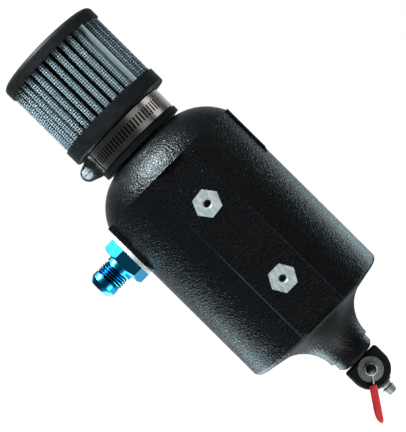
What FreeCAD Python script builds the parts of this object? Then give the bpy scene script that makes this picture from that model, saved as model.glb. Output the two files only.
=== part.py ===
"""Engine breather tank: a rotomoulded tank with a clamp-on filter, an inlet fitting and a drain cock.

Millimetres. The origin is the middle of the two mounting bolts, on the face of their inserts.
+Z runs up the tank, -Y points out of the mounting face and the inlet is on the -X side.
Pieces are modelled round the tank's own axis and moved back from the mounting face at the end.
"""
import FreeCAD
import Part

import math
import os

from FreeCAD import Placement, Rotation, Vector

# Fits
FIT = 0.05              # radial room between a fixed piece and the hole it sits in
RUN = 0.05              # radial room round a piece that turns
END_PLAY = 0.3          # room along the axis beside a piece that turns

# Mounting
BOLT_SPACING = 76.2     # upper insert to lower insert
INSERT_PROUD = 0.3      # inserts stand out of the land
INSERT_FLATS = 19.05
INSERT_LENGTH = 16.0
INSERT_GROOVE_R = 7.6   # waist that the plastic locks into
INSERT_GROOVE_W = 4.0
INSERT_TURN = {"upper": 6.6, "lower": 0.0}
BOLT_R = 3.175
BOLT_DEPTH = 13.0
BOLT_MOUTH_R = 3.6
BOSS_WALL = 4.0         # plastic round and behind an insert
OUTLINE_GROOVE = 0.5    # groove moulded round each insert

# Tank
TANK_R = 63.5
WALL = 4.5
TOP_ABOVE_BOLTS = 76.9
BOTTOM_BELOW_BOLTS = 81.5
RIM_ROUND = 4.0
DOME_STEP = 0.5         # edge of the dome stands in from the wall
DOME_RISE = 24.6
DOME_BULGE = 4.6        # height of the dome's arc over its chord
NECK_R = 33.25
NECK_LENGTH = 22.5
LAND_SINK = 2.3         # land lies inside the round of the wall
LAND_W = 40.8
LAND_CORNER = 7.0
LAND_ABOVE_RIM = 2.0
LAND_EDGE_ROUND = 0.5
PAD_W = 40.0
PAD_LENGTH = 39.7       # straight part below the shoulder
PAD_RUNOUT = 12.9       # slope under it
PAD_RUNOUT_IN = 5.0     # how far the slope comes in
PAD_EDGE_ROUND = 1.2
BLANK_PAD_OUT = -0.8    # face of the spare pad, measured out from the wall
FACED_PAD_OUT = 0.2     # face of the inlet pad

# Sump and its tapped collar
SUMP_SWEEP_R = 30.5     # hollow curve of the trumpet
SUMP_LENGTH = 33.9      # rim to the trumpet's end
SUMP_END_R = 18.4
SUMP_BORE_R = 13.2
SUMP_BORE_LENGTH = 12.0
COLLAR_R = 16.2
COLLAR_H = 9.5
COLLAR_CHAMFER = 2.7
COLLAR_FUNNEL_R = 10.0

# Inlet
INLET_BELOW_SHOULDER = 26.5
INLET_THREAD_R = 11.11
INLET_BORE_R = 6.15
INLET_HEX_FLATS = 33.3
INLET_HEX_H = 9.8
INLET_HEX_TURN = -7.5
INLET_THREAD_L = 15.0   # hexagon to the end of the thread
INLET_LAND_R = 10.8
INLET_LAND_L = 5.0
FLARE_TIP_R = 7.6
FLARE_ANGLE = 37.0
WASHER_OUTER_R = 19.0
WASHER_OUTER_T = 3.0
WASHER_INNER_R = 17.0
WASHER_INNER_T = 2.0
NUT_FLATS = 28.6
NUT_H = 8.0
SHANK_PAST_NUT = 2.0
SEAT_MARGIN = 1.0       # flat inside the wall, round the inner washer

# Filter
FILTER_GAP = 1.8        # dome to the end of the rubber neck
LIP_R = 37.4
LIP_H = 4.5
BASE_R = 45.25
BASE_H = 12.5
CAP_R = 45.0
CAP_H = 10.0
CAP_ROUND = 3.5
BASE_ROUND = 1.5
MEDIA_H = 56.7
MEDIA_R = 44.0
MEDIA_T = 1.4
PLEATS = 35
PLEAT_DEPTH = 12.5
PLEAT_FOLD_R = 0.5      # inside of each fold
SEAM_ANGLE = 42.5       # to the right of the front
CLIP_SHEET = 0.6
CLIP_LEG = 4.0
CLIP_ROOM = 0.25

# Hose clamp
BAND_W = 16.8
BAND_T = 0.7
BAND_ROOM = 1.1         # neck above and below the band
BAND_SINK = 1.4         # band sits in a groove this much inside the lip
SLOT_PITCH = 3.05
SLOT_H = 8.0
SLOT_W = 1.3
SLOT_LEAN = 5.0
SLOTS_FROM = -72.0
SLOTS_TO = 49.0
HOUSING_ANGLE = -100.0  # to the left of the front, just behind the side
HOUSING_L = 14.0
HOUSING_W = 18.0
HOUSING_WALL = 1.2
WORM_R = 5.3
WORM_OVER_BAND = 0.8
SCREW_NECK_R = 3.4
SCREW_HEX_FLATS = 8.0
SCREW_HEX_H = 4.6
SCREW_COLLAR_H = 1.2
SCREW_SLOT_W = 1.3
SCREW_SLOT_DEPTH = 1.6
TAIL_ARC = 66.0         # overlap of the band's ends

# Drain cock
COCK_W = 31.4
COCK_TOP = 10.6         # top of the body over the spindle
COCK_CORNER = 2.0
COCK_FRONT = 11.0       # front face to the tank's axis
COCK_FLANGE_T = 8.0
COCK_EDGE = 1.2
COCK_BACK = 11.0
BARREL_R = 10.0
COCK_NECK_R = 9.5
COCK_NECK_H = 1.1
COCK_STEM_R = 6.85
COCK_STEM_L = 8.0
PASSAGE_R = 3.0
OUTLET_BOSS_R = 7.0
OUTLET_BOSS_DROP = 0.8  # boss reaches this far under the round of the body
PLUG_R = 5.5
O_RING_SECTION = 1.6
O_RING_OFFSET = 6.5
SNAP_RING_R = 7.5
SNAP_RING_T = 1.0
SNAP_GROOVE_R = 4.4
DISC_R = 9.8
DISC_T = 1.2
DISC_DISH = 0.7
DISC_RECESS = 0.5
SPINDLE_R = 3.5
SPINDLE_HEAD_R = 4.1
SPINDLE_HEAD_H = 0.6    # straight side of the head
SPINDLE_CROWN = 1.2     # rise of its round top
LEVER_ANGLE = 34.7      # from straight down, towards the inlet side
WIRE_R = 0.65
GRIP_L = 28.5
GRIP_W = 5.8
GRIP_T = 3.2
GRIP_START = 13.2
GRIP_TIP_R = 1.3
GRIP_TAPER_L = 11.0
GRIP_ROUND = 1.1
WIRE_IN_GRIP = 14.0
SPOUT_R = 5.0
SPOUT_WAIST_R = 3.6
SPOUT_TIP_R = 4.0
SPOUT_COLLAR_L = 1.4
SPOUT_WAIST_L = 2.6
SPOUT_BARB_L = 5.2
SPOUT_BORE_R = 2.2
SPOUT_SHANK_R = 4.0
SPOUT_SHANK_L = 5.0

# Heights worked out from the sizes above
SHOULDER_Z = TOP_ABOVE_BOLTS
RIM_Z = -BOTTOM_BELOW_BOLTS
DOME_TOP_Z = SHOULDER_Z + DOME_RISE
NECK_TOP_Z = DOME_TOP_Z + NECK_LENGTH
NECK_BORE_R = NECK_R - WALL
FILTER_END_Z = DOME_TOP_Z + FILTER_GAP
BASE_Z = FILTER_END_Z + LIP_H + BAND_W + 2 * BAND_ROOM
MEDIA_Z = BASE_Z + BASE_H
CAP_Z = MEDIA_Z + MEDIA_H
BAND_R = LIP_R - BAND_SINK
BAND_OUT_R = BAND_R + BAND_T
TAIL_OUT_R = BAND_OUT_R + BAND_T
CLAMP_Z = FILTER_END_Z + LIP_H + BAND_ROOM + BAND_W / 2
SCREW_R = TAIL_OUT_R + WORM_OVER_BAND + WORM_R
SUMP_END_Z = RIM_Z - SUMP_LENGTH
COLLAR_END_Z = SUMP_END_Z - COLLAR_H
COCK_Z = COLLAR_END_Z - COCK_NECK_H - COCK_TOP
OUTLET_Z = COCK_Z - COCK_W / 2 - OUTLET_BOSS_DROP
INLET_Z = SHOULDER_Z - INLET_BELOW_SHOULDER
INLET_FACE = TANK_R + FACED_PAD_OUT
INLET_SEAT = INLET_FACE - WALL
LAND_FACE = TANK_R - LAND_SINK
FACE_TO_AXIS = LAND_FACE + INSERT_PROUD
DISC_FRONT = COCK_FRONT - DISC_RECESS + DISC_T + DISC_DISH
LEVER_FRONT = DISC_FRONT + END_PLAY + WIRE_R
EYE_R = SPINDLE_R + FIT + WIRE_R

UP = Vector(0, 0, 1)
OUT_FRONT = Vector(0, -1, 0)
OUT_LEFT = Vector(-1, 0, 0)
ORIGIN = Vector(0, 0, 0)


# Shapes
def outline(start, *steps):
    """A closed face in the XZ plane. A step is a point, or (through, end) for an arc."""
    def at(point):
        return Vector(point[0], 0, point[1])

    edges = []
    here = start
    for step in steps + (start,):
        if isinstance(step[0], tuple):
            through, end = step
            edges.append(Part.Arc(at(here), at(through), at(end)).toShape())
        else:
            end = step
            if end != here:
                edges.append(Part.LineSegment(at(here), at(end)).toShape())
        here = end
    return Part.Face(Part.Wire(edges))


def turned(start, *steps):
    """The outline turned round Z; its points are (radius, height)."""
    return outline(start, *steps).revolve(ORIGIN, UP, 360)


def ring(outer_r, inner_r, low, high):
    return turned((inner_r, low), (outer_r, low), (outer_r, high), (inner_r, high))


def disc(radius, low, high):
    return Part.makeCylinder(radius, high - low, Vector(0, 0, low))


def box(x, y, z):
    """A box from three (low, high) pairs."""
    size = [high - low for low, high in (x, y, z)]
    return Part.makeBox(*size, Vector(x[0], y[0], z[0]))


def hexagon(flats, low, high, turn=0.0):
    """A hexagonal bar along Z with a corner on X."""
    corner = flats / math.sqrt(3)
    corners = [polar(corner, turn + 60 * i, low) for i in range(7)]
    return Part.Face(Part.makePolygon(corners)).extrude(Vector(0, 0, high - low))


def chamfered_hexagon(flats, low, high, turn=0.0, both_ends=False):
    """A hexagon whose corners are turned off at the top end, or at both."""
    corner = flats / math.sqrt(3)
    face_r = flats / 2
    drop = (corner - face_r) * math.tan(math.radians(30))
    foot = (face_r, low) if both_ends else (corner, low)
    blank = turned((0, low), foot, (corner, low + drop), (corner, high - drop), (face_r, high), (0, high))
    return hexagon(flats, low, high, turn).common(blank)


def polar(radius, degrees, z=0.0):
    angle = math.radians(degrees)
    return Vector(radius * math.cos(angle), radius * math.sin(angle), z)


def along(shape, base, direction):
    """The shape with its Z axis laid along direction, starting at base."""
    return shape.transformed(Placement(base, Rotation(UP, direction)).toMatrix())


def round_the_axis(shape, front_angle):
    """A shape modelled on the +X side, moved to front_angle degrees right of the front."""
    return shape.rotated(ORIGIN, UP, front_angle - 90)


def arc_middle(start, end, bulge):
    """The middle point of an arc that stands bulge to the left of its chord."""
    run, rise = end[0] - start[0], end[1] - start[1]
    chord = math.hypot(run, rise)
    return ((start[0] + end[0] - 2 * bulge * rise / chord) / 2,
            (start[1] + end[1] + 2 * bulge * run / chord) / 2)


def crown(radius, foot, rise):
    """Middle and end of a round top that starts at (radius, foot) and is square to the axis."""
    sphere_r = (radius ** 2 + rise ** 2) / (2 * rise)
    half = math.asin(radius / sphere_r) / 2
    top = foot + rise
    return (sphere_r * math.sin(half), top - sphere_r * (1 - math.cos(half))), (0, top)


# Tank
def trumpet(sweep_r, rim, end_z):
    """Points of the sump's hollow curve: where its tangent from the rim meets it, its middle and its end."""
    centre = (SUMP_END_R + SUMP_SWEEP_R, SUMP_END_Z)
    reach = math.hypot(rim[0] - centre[0], rim[1] - centre[1])
    lean = math.atan2(rim[1] - centre[1], rim[0] - centre[0])
    first = lean + math.acos(sweep_r / reach)
    last = math.pi - math.asin((end_z - centre[1]) / sweep_r)

    def on_curve(angle):
        return (centre[0] + sweep_r * math.cos(angle), centre[1] + sweep_r * math.sin(angle))

    return on_curve(first), on_curve((first + last) / 2), on_curve(last)


def dome_arc(inset):
    """Start, middle and end of the dome's arc, or of its inside face."""
    edge = (TANK_R - DOME_STEP - inset, SHOULDER_Z)
    top = (NECK_R - inset, DOME_TOP_Z - inset)
    return edge, arc_middle(edge, top, -DOME_BULGE), top


def tank_outside():
    rim = (TANK_R - RIM_ROUND, RIM_Z)
    slant = RIM_ROUND * math.sqrt(0.5)
    rim_middle = (rim[0] + slant, RIM_Z + RIM_ROUND - slant)
    meets, middle, end = trumpet(SUMP_SWEEP_R, rim, SUMP_END_Z)
    edge, dome_middle, top = dome_arc(0)
    return turned(
        (0, end[1]), end, (middle, meets), rim, (rim_middle, (TANK_R, RIM_Z + RIM_ROUND)),
        (TANK_R, SHOULDER_Z), edge, (dome_middle, top), (NECK_R, NECK_TOP_Z), (0, NECK_TOP_Z))


def tank_inside():
    """The hollow, with a flat behind the mounting land so that the wall stays even."""
    wall_r = TANK_R - WALL
    rim = (wall_r, RIM_Z + WALL)
    floor_z = SUMP_END_Z + SUMP_BORE_LENGTH
    meets, middle, end = trumpet(SUMP_SWEEP_R + WALL, rim, floor_z)
    edge, dome_middle, top = dome_arc(WALL)
    hollow = turned(
        (0, SUMP_END_Z - WALL), (SUMP_BORE_R, SUMP_END_Z - WALL), (SUMP_BORE_R, floor_z), end,
        (middle, meets), rim, (wall_r, SHOULDER_Z), edge, (dome_middle, top),
        (NECK_BORE_R, NECK_TOP_Z + WALL), (0, NECK_TOP_Z + WALL))
    behind_land = box((-LAND_W, LAND_W), (-TANK_R, WALL - LAND_FACE), (RIM_Z, SHOULDER_Z))
    return hollow.cut(behind_land)


def land_outline():
    half = LAND_W / 2
    low = RIM_Z + LAND_ABOVE_RIM
    bend = LAND_CORNER * (1 - math.sqrt(0.5))
    return outline(
        (-half, SHOULDER_Z), (-half, low + LAND_CORNER),
        ((bend - half, low + bend), (LAND_CORNER - half, low)), (half - LAND_CORNER, low),
        ((half - bend, low + bend), (half, low + LAND_CORNER)), (half, SHOULDER_Z))


def land():
    """The flat strip that the tank bolts up by, rounded along its proud edges."""
    depth = WALL * 2
    block = land_outline().extrude(Vector(0, depth, 0))
    block.translate(Vector(0, -LAND_FACE, 0))
    sides = [edge for edge in block.Edges
             if edge.BoundBox.YMax < FIT - LAND_FACE and edge.BoundBox.ZMin < SHOULDER_Z - FIT]
    return block.makeFillet(LAND_EDGE_ROUND, sides)


def side_pad(side, out):
    """A flat boss at the top of the wall, on side +1 or -1, that runs out into the wall below."""
    face = TANK_R + out
    root = TANK_R - 2 * WALL
    low = SHOULDER_Z - PAD_LENGTH
    slope = PAD_RUNOUT / PAD_RUNOUT_IN
    block = outline(
        (root, SHOULDER_Z), (face, SHOULDER_Z), (face, low), (root, low - slope * (face - root)),
    ).extrude(Vector(0, PAD_W, 0))
    block.translate(Vector(0, -PAD_W / 2, 0))
    outer = [edge for edge in block.Edges if edge.BoundBox.XMax > face - FIT
             and edge.BoundBox.ZMin < SHOULDER_Z - FIT]
    block = block.makeFillet(PAD_EDGE_ROUND, outer)
    return block if side > 0 else block.rotated(ORIGIN, UP, 180)


def pad_room(side, out):
    """What is taken off the round of the wall so that a pad is flat."""
    face = TANK_R + out
    room = box((face, face + 2 * WALL), (-PAD_W / 2, PAD_W / 2), (SHOULDER_Z - PAD_LENGTH, SHOULDER_Z))
    return room if side > 0 else room.rotated(ORIGIN, UP, 180)


def insert_blank(which):
    """An insert without its hole, as the plastic flows round it."""
    bar = hexagon(INSERT_FLATS, -INSERT_LENGTH, 0, INSERT_TURN[which])
    middle = -INSERT_LENGTH / 2
    half = INSERT_GROOVE_W / 2
    groove = ring(INSERT_FLATS, INSERT_GROOVE_R, middle - half, middle + half)
    return bar.cut(groove)


def at_bolt(shape, which):
    height = BOLT_SPACING / 2 if which == "upper" else -BOLT_SPACING / 2
    return along(shape, Vector(0, -FACE_TO_AXIS, height), OUT_FRONT)


def insert_boss(which):
    radius = INSERT_FLATS / math.sqrt(3) + BOSS_WALL
    return at_bolt(disc(radius, -INSERT_LENGTH - BOSS_WALL, -INSERT_PROUD - WALL / 2), which)


def insert_outline(which):
    flats = INSERT_FLATS + 2 * OUTLINE_GROOVE
    groove = hexagon(flats, -INSERT_PROUD - OUTLINE_GROOVE, 0, INSERT_TURN[which])
    return at_bolt(groove, which)


def at_inlet(shape):
    """A piece of the inlet, whose own Z starts on the pad's face and points out of it."""
    return along(shape, Vector(-INLET_FACE, 0, INLET_Z), OUT_LEFT)


def tank_shell():
    front = land_outline().extrude(Vector(0, -WALL, 0))
    front.translate(Vector(0, -LAND_FACE, 0))
    body = tank_outside().cut([front, pad_room(1, BLANK_PAD_OUT), pad_room(-1, FACED_PAD_OUT)])
    body = body.fuse([land(), side_pad(1, BLANK_PAD_OUT), side_pad(-1, FACED_PAD_OUT)])
    body = body.cut(tank_inside())
    body = body.fuse([insert_boss(which) for which in INSERT_TURN])
    pockets = [at_bolt(insert_blank(which), which) for which in INSERT_TURN]
    grooves = [insert_outline(which) for which in INSERT_TURN]
    hole = at_inlet(disc(INLET_THREAD_R + FIT, -2 * WALL, WALL))
    seat = at_inlet(disc(WASHER_INNER_R + SEAT_MARGIN, -3 * WALL, -WALL))
    return body.cut(pockets + grooves + [hole, seat]).removeSplitter()


def mount_insert(which):
    hole = turned(
        (0, -BOLT_DEPTH), (BOLT_R, -BOLT_DEPTH + BOLT_R / 2), (BOLT_R, BOLT_R - BOLT_MOUTH_R),
        (BOLT_MOUTH_R, 0), (0, 0))
    return at_bolt(insert_blank(which).cut(hole), which)


# Inlet
def inlet_fitting():
    hex_low = WASHER_OUTER_T
    hex_high = hex_low + INLET_HEX_H
    thread_end = hex_high + INLET_THREAD_L
    land_end = thread_end + INLET_LAND_L
    tip = land_end + (INLET_LAND_R - FLARE_TIP_R) / math.tan(math.radians(FLARE_ANGLE))
    shank_end = -WALL - WASHER_INNER_T - NUT_H - SHANK_PAST_NUT
    body = turned(
        (0, shank_end), (INLET_THREAD_R, shank_end), (INLET_THREAD_R, thread_end),
        (INLET_LAND_R, thread_end), (INLET_LAND_R, land_end), (FLARE_TIP_R, tip), (0, tip))
    flats = chamfered_hexagon(INLET_HEX_FLATS, hex_low, hex_high, INLET_HEX_TURN)
    bore = disc(INLET_BORE_R, shank_end - WALL, tip + WALL)
    return at_inlet(body.fuse(flats).cut(bore))


def inlet_washer_outer():
    return at_inlet(ring(WASHER_OUTER_R, INLET_THREAD_R + FIT, 0, WASHER_OUTER_T))


def inlet_washer_inner():
    return at_inlet(ring(WASHER_INNER_R, INLET_THREAD_R + FIT, -WALL - WASHER_INNER_T, -WALL))


def inlet_nut():
    seat = -WALL - WASHER_INNER_T
    nut = chamfered_hexagon(NUT_FLATS, seat - NUT_H, seat, both_ends=True)
    return at_inlet(nut.cut(disc(INLET_THREAD_R + FIT, seat - 2 * NUT_H, seat + NUT_H)))


# Filter
def filter_base():
    """Rubber base ring and neck; the band lies in a groove round the neck."""
    lip_top = FILTER_END_Z + LIP_H
    bend = BASE_ROUND * (1 - math.sqrt(0.5))
    return turned(
        (NECK_R + FIT, FILTER_END_Z), (LIP_R, FILTER_END_Z), (LIP_R, lip_top), (BAND_R, lip_top),
        (BAND_R, BASE_Z), (BASE_R - BASE_ROUND, BASE_Z),
        ((BASE_R - bend, BASE_Z + bend), (BASE_R, BASE_Z + BASE_ROUND)), (BASE_R, MEDIA_Z),
        (NECK_BORE_R, MEDIA_Z), (NECK_BORE_R, NECK_TOP_Z), (NECK_R + FIT, NECK_TOP_Z))


def filter_top_cap():
    top = CAP_Z + CAP_H
    bend = CAP_ROUND * (1 - math.sqrt(0.5))
    return turned(
        (0, CAP_Z), (CAP_R, CAP_Z), (CAP_R, top - CAP_ROUND),
        ((CAP_R - bend, top - bend), (CAP_R - CAP_ROUND, top)), (0, top))


def pleated_wire(crest_fold_r, valley_fold_r):
    """One face of the folded sheet: arcs at the crests and valleys, joined by their common tangents."""
    thick_fold = PLEAT_FOLD_R + MEDIA_T
    step = 360.0 / PLEATS
    crest_r = MEDIA_R - thick_fold
    valley_r = MEDIA_R - PLEAT_DEPTH + PLEAT_FOLD_R
    edges = []
    for pleat in range(PLEATS):
        turn = SEAM_ANGLE - 90 + pleat * step
        sunk = CLIP_SHEET + CLIP_ROOM if pleat == 0 else 0.0
        next_sunk = CLIP_SHEET + CLIP_ROOM if pleat == PLEATS - 1 else 0.0
        crest = polar(crest_r - sunk, turn)
        valley = polar(valley_r, turn + step / 2)
        crest_after = polar(crest_r - next_sunk, turn + step)
        leave, reach = inner_tangent(crest, crest_fold_r, valley, valley_fold_r, 1)
        after, back = inner_tangent(crest_after, crest_fold_r, valley, valley_fold_r, -1)
        edges.append(Part.LineSegment(leave, reach).toShape())
        dip = valley - polar(valley_fold_r, turn + step / 2)
        edges.append(Part.Arc(reach, dip, back).toShape())
        edges.append(Part.LineSegment(back, after).toShape())
        top = crest_after + polar(crest_fold_r, turn + step)
        crest_next_valley = polar(valley_r, turn + step * 1.5)
        onward, _ = inner_tangent(crest_after, crest_fold_r, crest_next_valley, valley_fold_r, 1)
        edges.append(Part.Arc(after, top, onward).toShape())
    return Part.Wire(Part.sortEdges(edges)[0])


def inner_tangent(first, first_r, second, second_r, side):
    """Where the crossing tangent of two circles touches each of them."""
    ahead = second - first
    reach = ahead.Length
    ahead = ahead / reach
    across = Vector(-ahead.y, ahead.x, 0) * side
    lean = (first_r + second_r) / reach
    normal = ahead * lean + across * (-math.sqrt(1 - lean * lean))
    return first + normal * first_r, second - normal * second_r


def filter_media():
    """A wire-backed cotton sheet folded into a closed ring of pleats."""
    thick_fold = PLEAT_FOLD_R + MEDIA_T
    outer = Part.Face(pleated_wire(thick_fold, PLEAT_FOLD_R))
    inner = Part.Face(pleated_wire(PLEAT_FOLD_R, thick_fold))
    sheet = outer.cut(inner).extrude(Vector(0, 0, MEDIA_H))
    sheet.translate(Vector(0, 0, MEDIA_Z))
    return sheet


def filter_seam_clip():
    """A channel pinched over the pleat where the two ends of the sheet meet."""
    thick_fold = PLEAT_FOLD_R + MEDIA_T
    inside = thick_fold + CLIP_ROOM
    crest = Vector(MEDIA_R - inside - CLIP_SHEET, 0, 0)
    valley = polar(MEDIA_R - PLEAT_DEPTH + PLEAT_FOLD_R, 180.0 / PLEATS)
    leave, reach = inner_tangent(crest, thick_fold, valley, PLEAT_FOLD_R, 1)
    normal = (leave - crest) / thick_fold
    down = (reach - leave).normalize()

    def channel(half, leg):
        shoulder = crest + normal * half
        foot = shoulder + down * leg
        other_shoulder = Vector(shoulder.x, -shoulder.y, 0)
        other_foot = Vector(foot.x, -foot.y, 0)
        edges = [
            Part.LineSegment(foot, shoulder).toShape(),
            Part.Arc(shoulder, crest + Vector(half, 0, 0), other_shoulder).toShape(),
            Part.LineSegment(other_shoulder, other_foot).toShape(),
            Part.LineSegment(other_foot, foot).toShape()]
        return Part.Face(Part.Wire(edges)).extrude(Vector(0, 0, MEDIA_H))

    clip = channel(inside + CLIP_SHEET, CLIP_LEG).cut(channel(inside, 2 * CLIP_LEG))
    clip.translate(Vector(0, 0, MEDIA_Z))
    return round_the_axis(clip, SEAM_ANGLE)


# Hose clamp
def clamp_band():
    low, high = CLAMP_Z - BAND_W / 2, CLAMP_Z + BAND_W / 2
    strip = ring(BAND_OUT_R, BAND_R, low, high)
    tail = outline((BAND_OUT_R - BAND_T / 2, low), (TAIL_OUT_R, low), (TAIL_OUT_R, high),
                   (BAND_OUT_R - BAND_T / 2, high)).revolve(ORIGIN, UP, TAIL_ARC)
    tail = round_the_axis(tail, HOUSING_ANGLE - TAIL_ARC / 2)
    step = math.degrees(SLOT_PITCH / BAND_OUT_R)
    slots = []
    for i in range(int((SLOTS_TO - SLOTS_FROM) / step) + 1):
        slot = box(
            (BAND_R - BAND_T, BAND_OUT_R + BAND_T), (-SLOT_W / 2, SLOT_W / 2), (-SLOT_H / 2, SLOT_H / 2))
        slot = slot.rotated(ORIGIN, Vector(1, 0, 0), -SLOT_LEAN)
        slot.translate(Vector(0, 0, CLAMP_Z))
        slots.append(round_the_axis(slot, SLOTS_TO - i * step))
    return strip.cut(slots).fuse(tail).removeSplitter()


def at_housing(shape):
    """A piece of the screw drive: modelled on +X with the screw along Y, then moved to its place."""
    shape.translate(Vector(0, 0, CLAMP_Z))
    return round_the_axis(shape, HOUSING_ANGLE)


def clamp_housing():
    """A tent of sheet steel: ears over the band's edges, sloping cheeks and an arch round the worm."""
    half = HOUSING_W / 2
    arch_r = WORM_R + RUN + HOUSING_WALL
    foot = BAND_R + FIT
    eave = TAIL_OUT_R + HOUSING_WALL
    lift = SCREW_R - eave
    lean = math.atan2(half, lift)
    swing = math.acos(arch_r / math.hypot(half, lift))
    contact = (SCREW_R - arch_r * math.cos(lean + swing), arch_r * math.sin(lean + swing))
    tent = outline(
        (foot, -half), (eave, -half), (contact[0], -contact[1]),
        ((SCREW_R + arch_r, 0.0), contact), (eave, half), (foot, half))
    tent = tent.extrude(Vector(0, HOUSING_L, 0))
    tent.translate(Vector(0, -HOUSING_L / 2, 0))
    band_room = ring(TAIL_OUT_R + FIT, BAND_R - HOUSING_WALL, -BAND_W / 2 - FIT, BAND_W / 2 + FIT)
    front_wall = HOUSING_L / 2 - HOUSING_WALL
    worm_room = along(disc(WORM_R + RUN, -HOUSING_L, front_wall), Vector(SCREW_R, 0, 0), Vector(0, 1, 0))
    neck_room = along(disc(SCREW_NECK_R + RUN, 0, HOUSING_L), Vector(SCREW_R, 0, 0), Vector(0, 1, 0))
    return at_housing(tent.cut([band_room, worm_room, neck_room]))


def clamp_screw():
    front_wall = HOUSING_L / 2 - HOUSING_WALL
    worm_end = front_wall - END_PLAY
    collar = HOUSING_L / 2 + END_PLAY
    hex_low = collar + SCREW_COLLAR_H
    hex_high = hex_low + SCREW_HEX_H
    collar_r = SCREW_HEX_FLATS / math.sqrt(3)
    body = turned(
        (0, -HOUSING_L / 2), (WORM_R, -HOUSING_L / 2), (WORM_R, worm_end), (SCREW_NECK_R, worm_end),
        (SCREW_NECK_R, collar), (collar_r, collar), (collar_r, hex_low), (0, hex_low))
    head = chamfered_hexagon(SCREW_HEX_FLATS, hex_low, hex_high)
    slot = box((-collar_r, collar_r), (-SCREW_SLOT_W / 2, SCREW_SLOT_W / 2),
               (hex_high - SCREW_SLOT_DEPTH, hex_high + SCREW_SLOT_DEPTH))
    screw = body.fuse(head).cut(slot)
    return at_housing(along(screw, Vector(SCREW_R, 0, 0), Vector(0, 1, 0)))


# Drain cock
def drain_insert():
    shank_top = SUMP_END_Z + SUMP_BORE_LENGTH
    shank_r = SUMP_BORE_R - FIT
    stem_top = COLLAR_END_Z + COCK_STEM_L
    return turned(
        (COCK_STEM_R + FIT, COLLAR_END_Z), (COLLAR_R - COLLAR_CHAMFER, COLLAR_END_Z),
        (COLLAR_R, COLLAR_END_Z + COLLAR_CHAMFER), (COLLAR_R, SUMP_END_Z), (shank_r, SUMP_END_Z),
        (shank_r, shank_top), (COLLAR_FUNNEL_R, shank_top), (COCK_STEM_R + FIT, stem_top))


def cock_outline():
    half = COCK_W / 2
    top = COCK_Z + COCK_TOP
    bend = COCK_CORNER * (1 - math.sqrt(0.5))
    return outline(
        (-half, COCK_Z), ((0, COCK_Z - half), (half, COCK_Z)), (half, top - COCK_CORNER),
        ((half - bend, top - bend), (half - COCK_CORNER, top)), (COCK_CORNER - half, top),
        ((bend - half, top - bend), (-half, top - COCK_CORNER)))


def at_spindle(shape):
    """A piece of the spindle: its own Z starts on the tank's axis and points out of the front."""
    return along(shape, Vector(0, 0, COCK_Z), OUT_FRONT)


def drain_body():
    flange = cock_outline().extrude(Vector(0, COCK_FLANGE_T, 0))
    flange.translate(Vector(0, -COCK_FRONT, 0))
    rims = [edge for edge in flange.Edges if edge.BoundBox.YLength < FIT]
    flange = flange.makeChamfer(COCK_EDGE, rims)
    barrel = at_spindle(disc(BARREL_R, -COCK_BACK, COCK_FRONT - COCK_FLANGE_T / 2))
    neck = disc(COCK_NECK_R, COCK_Z, COLLAR_END_Z)
    stem = disc(COCK_STEM_R, COCK_Z, COLLAR_END_Z + COCK_STEM_L)
    outlet = disc(OUTLET_BOSS_R, OUTLET_Z, COCK_Z)
    body = flange.fuse([barrel, neck, stem, outlet])
    recess = at_spindle(disc(DISC_R + END_PLAY, COCK_FRONT - DISC_RECESS, COCK_FRONT + DISC_RECESS))
    plug_bore = at_spindle(disc(PLUG_R + RUN, -2 * COCK_BACK, 2 * COCK_FRONT))
    passage = disc(PASSAGE_R, COCK_Z - COCK_W, COLLAR_END_Z + 2 * COCK_STEM_L)
    spout_bore = disc(SPOUT_SHANK_R + FIT, OUTLET_Z - COCK_W, OUTLET_Z + SPOUT_SHANK_L)
    return body.cut([recess, plug_bore, passage, spout_bore]).removeSplitter()


def o_ring_groove_r():
    return PLUG_R - O_RING_SECTION - FIT


def drain_spindle():
    """The plug, its O-ring and snap-ring grooves, and the neck and head that carry the lever's eye."""
    shoulder = COCK_FRONT - DISC_RECESS - END_PLAY
    head_low = LEVER_FRONT + WIRE_R + FIT
    head_side = head_low + SPINDLE_HEAD_H
    snap_low = -COCK_BACK - END_PLAY - SNAP_RING_T - FIT
    end = snap_low - SNAP_RING_T
    body = turned(
        (0, end), (PLUG_R, end), (PLUG_R, shoulder), (SPINDLE_R, shoulder), (SPINDLE_R, head_low),
        (SPINDLE_HEAD_R, head_low), (SPINDLE_HEAD_R, head_side),
        crown(SPINDLE_HEAD_R, head_side, SPINDLE_CROWN))
    half = O_RING_SECTION / 2 + FIT
    cuts = [ring(2 * PLUG_R, o_ring_groove_r(), middle - half, middle + half)
            for middle in (-O_RING_OFFSET, O_RING_OFFSET)]
    cuts.append(ring(2 * PLUG_R, SNAP_GROOVE_R, snap_low, -COCK_BACK - END_PLAY))
    spindle = at_spindle(body.cut(cuts))
    bore = Part.makeCylinder(PASSAGE_R, 4 * PLUG_R, lever_point(-2 * PLUG_R, 0), lever_direction())
    return spindle.cut(bore)


def spindle_o_rings():
    middle_r = PLUG_R - O_RING_SECTION / 2
    rings = [Part.makeTorus(middle_r, O_RING_SECTION / 2, Vector(0, 0, middle))
             for middle in (-O_RING_OFFSET, O_RING_OFFSET)]
    return at_spindle(Part.makeCompound(rings))


def spindle_snap_ring():
    low = -COCK_BACK - END_PLAY - SNAP_RING_T
    clip = ring(SNAP_RING_R, SNAP_GROOVE_R + FIT, low, low + SNAP_RING_T)
    mouth = box((0, 2 * SNAP_RING_R), (-SNAP_GROOVE_R / 2, SNAP_GROOVE_R / 2), (low, low + SNAP_RING_T))
    return at_spindle(clip.cut(mouth))


def drain_disc():
    """A dished steel washer round the spindle's neck."""
    seat = COCK_FRONT - DISC_RECESS
    hole = SPINDLE_R + RUN
    return at_spindle(turned(
        (hole, seat + DISC_DISH), (DISC_R, seat), (DISC_R, seat + DISC_T), (hole, seat + DISC_T + DISC_DISH)))


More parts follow.
